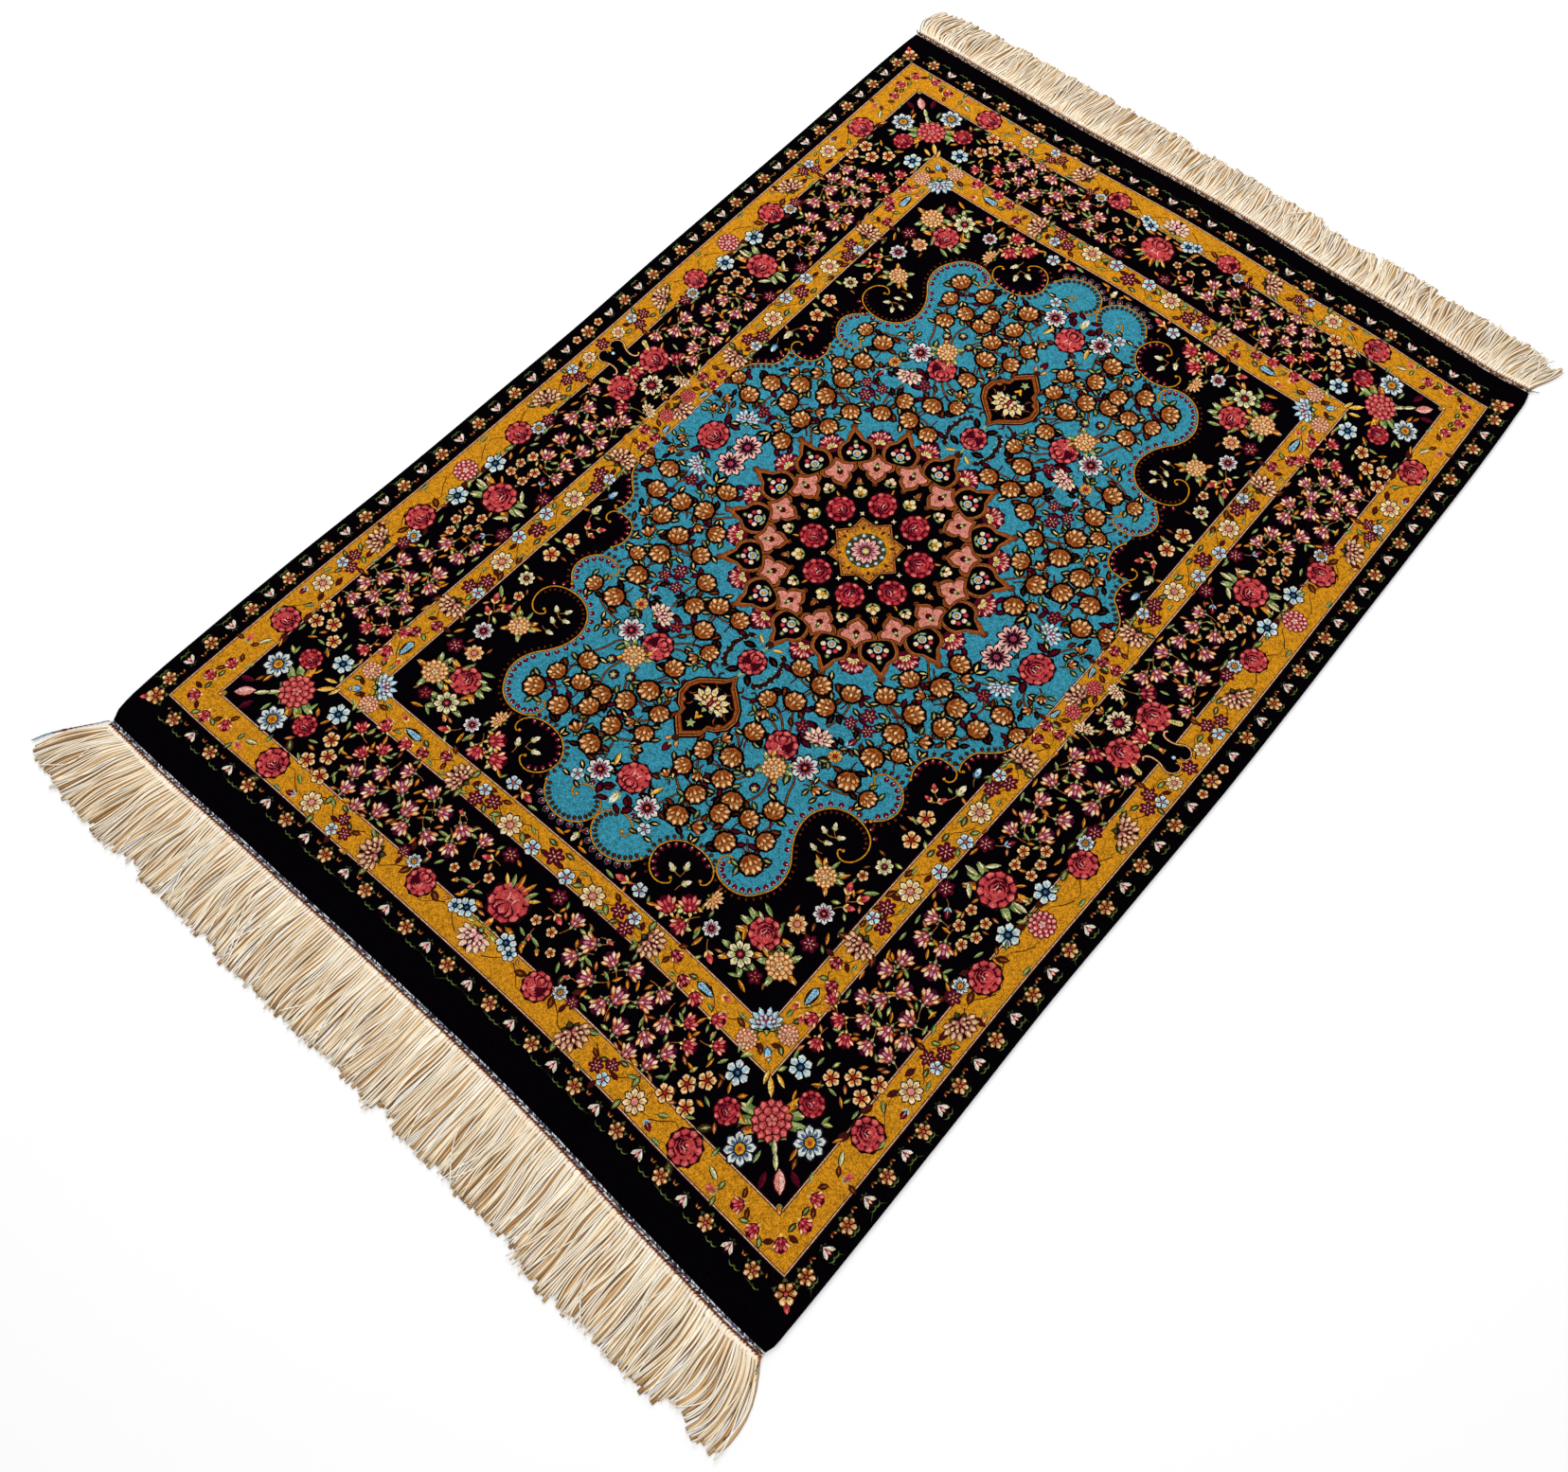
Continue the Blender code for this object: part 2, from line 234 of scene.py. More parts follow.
def daisy(count, outer, inner, heart, edge="line", heartSize=0.30, eye=None, turn=0.0):
    # one ring of petals, each with a streak from the heart
    wide = 2 * 0.60 * np.sin(np.pi / count)
    shapes = [(edge, scalloped(count, 1.04, 0.26, 4, 90 + turn))]
    shapes += spray(outer, petal(0.74, wide, 0.20, 1.7, 0.6, 3), around(count, turn))
    shapes += spray(inner, petal(0.56, wide * 0.50, 0.16, 1.1, 0.7, 2), around(count, turn))
    shapes += [(edge, disc(heartSize + 0.07, 8)), (heart, disc(heartSize, 7))]
    if eye:
        shapes += [(eye, disc(heartSize * 0.5, 5))]
    return shapes


def star(count=6, dark="maroon", stroke="blush", heart="peach", edge="wine", turn=0.0):
    # broad dark petals that meet, each with a fine pale stroke
    shapes = [(edge, scalloped(count, 1.03, 0.38, 4, 90 + turn, 0.8))]
    shapes += spray(dark, petal(0.84, 0.62, 0.10, 1.4, 0.7, 2), around(count, turn))
    shapes += spray(stroke, petal(0.40, 0.11, 0.24, 1.3, 0.7, 1), around(count, turn))
    return shapes + [(heart, disc(0.13, 5))]


def tulip(body="mauve", tip="cream", side="orange", dark="plum", cup="sage", light="lilac"):
    # a full cup: three upright petals between gold-edged outer ones, pale tips
    shapes = spray(cup, petal(0.66, 0.30, 0.0, 1.2, 0.6, 2), (112, 180, 248), (0, -0.60))
    shapes += [(dark, scalloped(7, 0.94, 0.10, 2) * (0.92, 1.0))]
    shapes += fanned(scale(dark, side, "sand", 1.30, 0.42, 0.10), (-48, 48), (0, -0.60))
    shapes += fanned(scale(dark, body, tip, 1.50, 0.48, 0.10), (-22, 22), (0, -0.72))
    shapes += fanned(scale(dark, body, light, 1.20, 0.42, 0.10), (0,), (0, -0.72))
    shapes += fanned(scale(dark, body, side, 0.72, 0.36, 0.0), (-52, 52), (0, -0.74))
    return shapes + fanned(scale(dark, light, tip, 0.66, 0.34, 0.0), (0,), (0, -0.84))


def lotusBud(edge="black"):
    # a few broad petals, brown to pale, each outlined dark, with leaves at the foot
    shapes = spray(edge, petal(1.00, 0.56, 0.0, 1.3, 0.7, 2), (120, 158, 204, 240), (0, -0.44))
    shapes += spray("sage", petal(0.86, 0.28, 0.06, 1.3, 0.7, 1), (120, 158, 204, 240), (0, -0.44))
    shapes += [(edge, scalloped(9, 1.24, 0.08, 2) * (1.06, 0.98))]
    shapes += [("rust", scalloped(9, 0.98, 0.08, 2) * (1.06, 0.98))]
    shapes += fanned(shell("line", "tan", "peach", 0.80, 0.56, 0.22), (-96, 96, -64, 64), (0, -0.10))
    shapes += fanned(shell("line", "tan", "sand", 1.24, 0.52, 0.14), (-32, 32, 0), (0, -0.36))
    shapes += fanned(shell("line", "rust", "peach", 1.06, 0.42, 0.0), (-40, 40), (0, -0.66))
    return shapes + fanned(shell("line", "tan", "sand", 0.98, 0.40, 0.0), (0,), (0, -0.84))


def sideBud(edge="black"):
    # a smaller bud seen from its side
    shapes = spray(edge, petal(0.86, 0.50, 0.0, 1.2, 0.8, 2), (132, 180, 228), (0, -0.56))
    shapes += spray("sage", petal(0.72, 0.26, 0.0, 1.2, 0.8, 1), (132, 180, 228), (0, -0.56))
    shapes += [(edge, petal(2.10, 1.62, -1.0, 1.0, 0.6, 4))]
    shapes += fanned(bold("line", "rust", "peach", 1.30, 0.52, 0.0), (-36, 36), (0, -0.68))
    return shapes + fanned(bold("line", "tan", "sand", 1.42, 0.50, 0.0), (0,), (0, -0.72))


def lotus(petalInk="cream", vein="maroon", edge="line", cup="sage", heart="ruby", shade="sand"):
    # an open fan of long petals on a cup, a shorter row in front
    shapes = spray(edge, petal(0.90, 0.56, 0.0, 1.2, 0.8, 2), (128, 180, 232), (0, -0.32))
    shapes += spray(cup, petal(0.80, 0.36, 0.0, 1.2, 0.8, 2), (128, 180, 232), (0, -0.32))
    shapes += [(edge, scalloped(11, 0.86, 0.14, 2))]
    shapes += fanned(shell(edge, shade, petalInk, 1.10, 0.40, 0.20), (-98, 98), (0, -0.30))
    shapes += fanned(shell(edge, shade, petalInk, 1.26, 0.40, 0.20), (-70, 70, -44, 44, -18, 18), (0, -0.42))
    shapes += [(vein, disc(0.46, 8, 0, -0.20))]
    shapes += fanned(shell(vein, heart, petalInk, 0.88, 0.34, 0.10), (-58, 58, -29, 29, 0), (0, -0.52))
    shapes += fanned(shell(vein, shade, petalInk, 0.52, 0.30, 0.04), (-100, 100, -44, 44), (0, -0.44))
    return shapes


def carnation(dark="wine", mid="rose", light="blush", edge="line", cup="green"):
    # toothed petals fanned wide over a cup
    shapes = spray(edge, petal(0.90, 0.60, 0.0, 1.1, 0.8, 2), (128, 180, 232), (0, -0.36))
    shapes += spray(cup, petal(0.80, 0.40, 0.0, 1.1, 0.8, 2), (128, 180, 232), (0, -0.36))
    shapes += [(edge, scalloped(13, 1.0, 0.12, 2)), (dark, scalloped(13, 0.92, 0.10, 2))]
    shapes += fanned(shell(dark, mid, light, 0.60, 0.34, 0.34), around(13))
    shapes += fanned(shell(dark, mid, light, 0.48, 0.34, 0.16), around(8, 22))
    shapes += [(dark, disc(0.28, 7))]
    return shapes + fanned(shell(dark, light, light, 0.24, 0.20, 0.03), around(5))


def whiteBell():
    # three pale round petals out of two green leaves
    shapes = spray("moss", petal(1.1, 0.50, 0.0, 1.2, 0.6, 2), (-62, 62), (0, -0.80))
    shapes += spray("sage", petal(0.95, 0.30, 0.04, 1.2, 0.6, 2), (-62, 62), (0, -0.80))
    for x, y in ((-0.42, 0.02), (0.42, 0.02), (0, 0.42)):
        shapes += [("line", disc(0.44, 9, x, y)), ("sand", disc(0.37, 8, x, y))]
        shapes += [("cream", disc(0.28, 7, x, y + 0.04))]
    return shapes + [("line", disc(0.20, 6, 0, -0.10)), ("rose", disc(0.13, 5, 0, -0.10))]


def bellFlower():
    # the same with an orange eye, then a tan bud on its tip
    shapes = spray("moss", petal(1.0, 0.44, 0.0, 1.2, 0.6, 2), (-50, 50), (0, -1.35))
    shapes += spray("sage", petal(0.86, 0.26, 0.04, 1.2, 0.6, 2), (-50, 50), (0, -1.35))
    for x, y in ((-0.40, -0.62), (0.40, -0.62), (0, -0.26)):
        shapes += [("line", disc(0.36, 8, x, y)), ("straw", disc(0.30, 8, x, y))]
        shapes += [("cream", disc(0.22, 7, x, y + 0.03))]
    shapes += [("rust", disc(0.26, 7, 0, -0.78)), ("amber", disc(0.20, 6, 0, -0.78))]
    shapes += spray("sage", petal(0.44, 0.20, 0.0, 1.2, 0.6, 1), (-70, 70), (0, 0.28))
    shapes += [("line", petal(1.16, 0.70, 0.10, 0.9, 0.6, 3)),
               ("brown", petal(1.0, 0.54, 0.16, 0.9, 0.6, 3))]
    stroke = petal(0.70, 0.16, 0.30, 0.9, 0.6, 1)
    return shapes + [("peach", stroke + (-0.12, 0)), ("tan", stroke + (0.12, 0))]


def bud(body="rose", tip="pink", cup="sage", edge=None, stroke="ruby"):
    # an almond in a forked cup
    shapes = [] if edge is None else [(edge, petal(2.16, 1.12, -1.08, 1.1, 0.7, 3))]
    shapes += spray(cup, petal(1.0, 0.34, 0.0, 1.1, 0.7, 2), (-38, 38), (0, -0.98))
    shapes += [(body, petal(1.70, 0.84, -0.78, 1.1, 0.7, 3))]
    shapes += [(tip, petal(0.80, 0.40, 0.05, 1.2, 0.7, 2))]
    shapes += [(stroke, petal(0.90, 0.14, -0.60, 1.0, 0.7, 1))]
    return shapes


def leaf(dark="green", light="sage", edge=None, wide=0.56):
    # a blade with a lighter half and a vein
    shapes = [] if edge is None else [(edge, petal(2.2, wide + 0.30, -1.1, 1.0, 0.8, 3))]
    shapes += [(dark, petal(2.0, wide, -1.0, 1.0, 0.8, 3))]
    t = np.linspace(0, 1, 5)
    half = np.stack([wide / 2 * np.sin(np.pi * t) ** 0.8 * (t > 0) * (t < 1), -1 + 2 * t], axis=1)
    return shapes + [(light, half)]


def featherLeaf(body="sky", vein="slate", edge="line", teeth=5):
    # a saw-edged leaf: paired short blades along a spine
    shapes = [] if edge is None else [(edge, petal(2.16, 1.02, -1.08, 0.9, 0.6, 4))]
    for y in np.linspace(-0.85, 0.35, teeth):
        size = 0.62 - 0.22 * (y + 0.85)
        shapes += spray(body, petal(size, 0.24, 0.0, 1.1, 0.7, 1), (-34, 34), (0, y))
    shapes += [(body, petal(0.66, 0.22, 0.34, 1.0, 0.7, 1)), (vein, petal(1.7, 0.08, -0.95, 1.0, 0.7, 1))]
    return shapes


def heartBud():
    # two pale outer petals that open round a pink one, on a small cup
    shapes = spray("moss", petal(0.60, 0.34, 0.0, 1.2, 0.7, 1), (122, 180, 238), (0, -0.42))
    shapes += [("line", petal(1.76, 1.26, -0.84, 0.8, 0.6, 3))]
    shapes += fanned(scale("line", "white", "cream", 1.34, 0.44, 0.0), (-30, 30), (0, -0.62))
    shapes += fanned(scale("wine", "rose", "blush", 1.16, 0.34, 0.0), (0,), (0, -0.62))
    return shapes + [("ruby", petal(0.62, 0.14, -0.50, 1.0, 0.7, 1))]


def guard():
    # a round flower of six fat petals and a pink eye, between two moss leaves
    shapes = spray("moss", petal(0.92, 0.46, 0.26, 1.0, 0.6, 2), (112, 180, 248), (0, -0.10))
    shapes += spray("green", petal(0.60, 0.22, 0.44, 1.0, 0.6, 1), (112, 180, 248), (0, -0.10))
    shapes += [("line", scalloped(6, 0.92, 0.16, 3, 90))]
    shapes += fanned(bold("line", "tan", "sand", 0.72, 0.52, 0.16), around(6, 30)[[1, 2, 3, 4]])
    shapes += fanned(bold("line", "peach", "cream", 0.72, 0.50, 0.16), (30, -30))
    return shapes + [("line", disc(0.26, 6)), ("rose", disc(0.17, 6))]


def grape(body="wine", cap="sage", edge="black"):
    # a dark ball with a pale green star on it, and a pale dot
    shapes = spray(edge, petal(0.80, 0.60, 0.0, 1.1, 0.8, 1), (140, 220), (0, -0.5))
    shapes += [(edge, disc(1.10, 9)), (body, disc(0.92, 8))]
    shapes += [(cap, scalloped(5, 0.72, 0.45, 2, 90) + (0.1, 0.16))]
    return shapes + [("cream", disc(0.22, 5, 0.1, 0.16))]


def smoothLine(points, spacing=0.004):
    # one smooth line through the points: Hermite over chord length
    points = np.asarray(points, float)
    run = np.concatenate([[0], np.cumsum(np.hypot(*np.diff(points, axis=0).T))])
    at = np.linspace(0, run[-1], max(3, int(run[-1] / spacing) + 2))
    rows = np.column_stack([run, points])
    return np.stack([readSmoothly(rows, 1, at), readSmoothly(rows, 2, at)], axis=1)


def ribbon(line, width):
    # a line thickened to both sides; width is one number or one for each point
    along = np.gradient(line, axis=0)
    along /= np.maximum(np.linalg.norm(along, axis=1, keepdims=True), 1e-9)
    across = np.stack([along[:, 1], -along[:, 0]], axis=1) * np.reshape(width, (-1, 1)) / 2
    return np.concatenate([line + across, (line - across)[::-1]])


def vine(points, width, ink, edge=None, rim=0.0007, spacing=0.004, taper=0.35):
    # a stem: a dark ribbon, and a lighter one on it, both thinner at the far end
    line = smoothLine(points, spacing)
    thin = np.linspace(1.0, taper, len(line))
    shapes = [] if edge is None else [(edge, ribbon(line, width * thin + 2 * rim))]
    return shapes + [(ink, ribbon(line, width * thin))]


def place(shapes, x, y, size, turn=90.0, flip=False):
    # a motif from its unit square to the drawing: its +y comes to point along turn
    out = []
    for ink, points in shapes:
        if flip:
            points = points[::-1] * (-1, 1)
        out.append((ink, turned(points, turn - 90.0) * size + (x, y)))
    return out


motifs = {
    "rose": rose(), "cabbage": cabbage(), "darkRose": rose("wine", "ruby", "red", "pink"),
    "star": star(), "smallStar": star(5, "maroon", "pink", "tan"),
    "blue5": daisy(5, "white", "sky", "rose", "line", 0.22),
    "blue8": daisy(8, "white", "slate", "gold", "navy", 0.32, eye="rust"),
    "cream8": daisy(8, "cream", "peach", "salmon", "line", 0.28),
    "cream8b": daisy(8, "cream", "sage", "maroon", "line", 0.30, eye="rose"),
    "gold8": daisy(8, "peach", "gold", "ruby", "umber", 0.26),
    "tan5": daisy(5, "sand", "orange", "ruby", "line", 0.20),
    "tan8": daisy(8, "sand", "orange", "salmon", "umber", 0.28),
    "violet": daisy(8, "white", "mauve", "plum", "black", 0.24, eye="orange"),
    "violet9": daisy(9, "blush", "plum", "mauve", "black", 0.20),
    "violet12": daisy(12, "blush", "mauve", "sage", "wine", 0.24, eye="gold"),
    "inkwhite": daisy(6, "white", "sky", "navy", "black", 0.30, eye="slate"),
    "tulip": tulip(), "redTulip": tulip("ruby", "pink", "red", "wine", "straw", "rose"),
    "maroonTulip": tulip("maroon", "rose", "ruby", "wine", "green", "pink"),
    "lotusBud": lotusBud(), "sideBud": sideBud(),
    "lace10": daisy(10, "cream", "maroon", "ruby", "black", 0.26, eye="rose"), "whiteBell": whiteBell(),
    "bellFlower": bellFlower(), "leafRose": leafyWings(rose()),
    "leafCarnation": leafyWings(carnation("wine", "rose", "pink", "black")),
    "leafPeony": leafyWings(carnation("brown", "peach", "sand", "black"), 1.5,
                            (-40, 40, 110, 140, 220, 250)),
    "leafDaisy": leafyWings(daisy(8, "cream", "sage", "maroon", "line", 0.30, eye="rose"), 1.5,
                            (40, 85, 130, 230, 275, 320)),
    "leafTulip": leafyWings(tulip("ruby", "pink", "red", "wine", "straw", "rose"), 1.3,
                            (125, 235), ("sage", "straw", "cream")),
    "lotus": lotus(), "whiteLotus": lotus("white", "plum", "black", "sage", "mauve", "sky"),
    "peony": lotus("sand", "brown", "black", "green", "orange", "peach"),
    "paleLotus": lotus("cream", "mauve", "line", "sage", "plum", "blush"),
    "carnation": carnation(), "redCarnation": carnation("wine", "red", "pink"),
    "salmonCarn": carnation("brown", "salmon", "sand"),
    "bud": bud(), "redBud": bud("red", "pink", "straw", None, "wine"),
    "goldBud": bud("orange", "straw", "green", "line", "brown"),
    "creamBud": bud("cream", "white", "sage", None, "tan"),
    "blueBud": bud("sky", "white", "slate", "line", "slate"),
    "maroonBud": bud("maroon", "ruby", "sky", "line", "blush"),
    "leaf": leaf(), "goldLeaf": leaf("rust", "amber"), "edgedLeaf": leaf("green", "sage", "line"),
    "creamLeaf": leaf("sage", "cream", "line"), "darkLeaf": leaf("wine", "maroon", None, 0.8),
    "salmonLeaf": leaf("salmon", "blush", "wine", 0.9), "yellowLeaf": leaf("amber", "straw", "line"),
    "feather": featherLeaf(), "greenFeather": featherLeaf("straw", "green", None),
    "heart": heartBud(), "duskLotus": lotus("sand", "wine", "line", "moss", "maroon", "dusk"),
    "guard": guard(), "grape": grape(),
}


def rowsOf(text):
    # a table written as text: a comma ends each row, spaces part its words and numbers
    return [tuple(word if word.isidentifier() else float(word) for word in row.split())
            for row in text.split(",")]


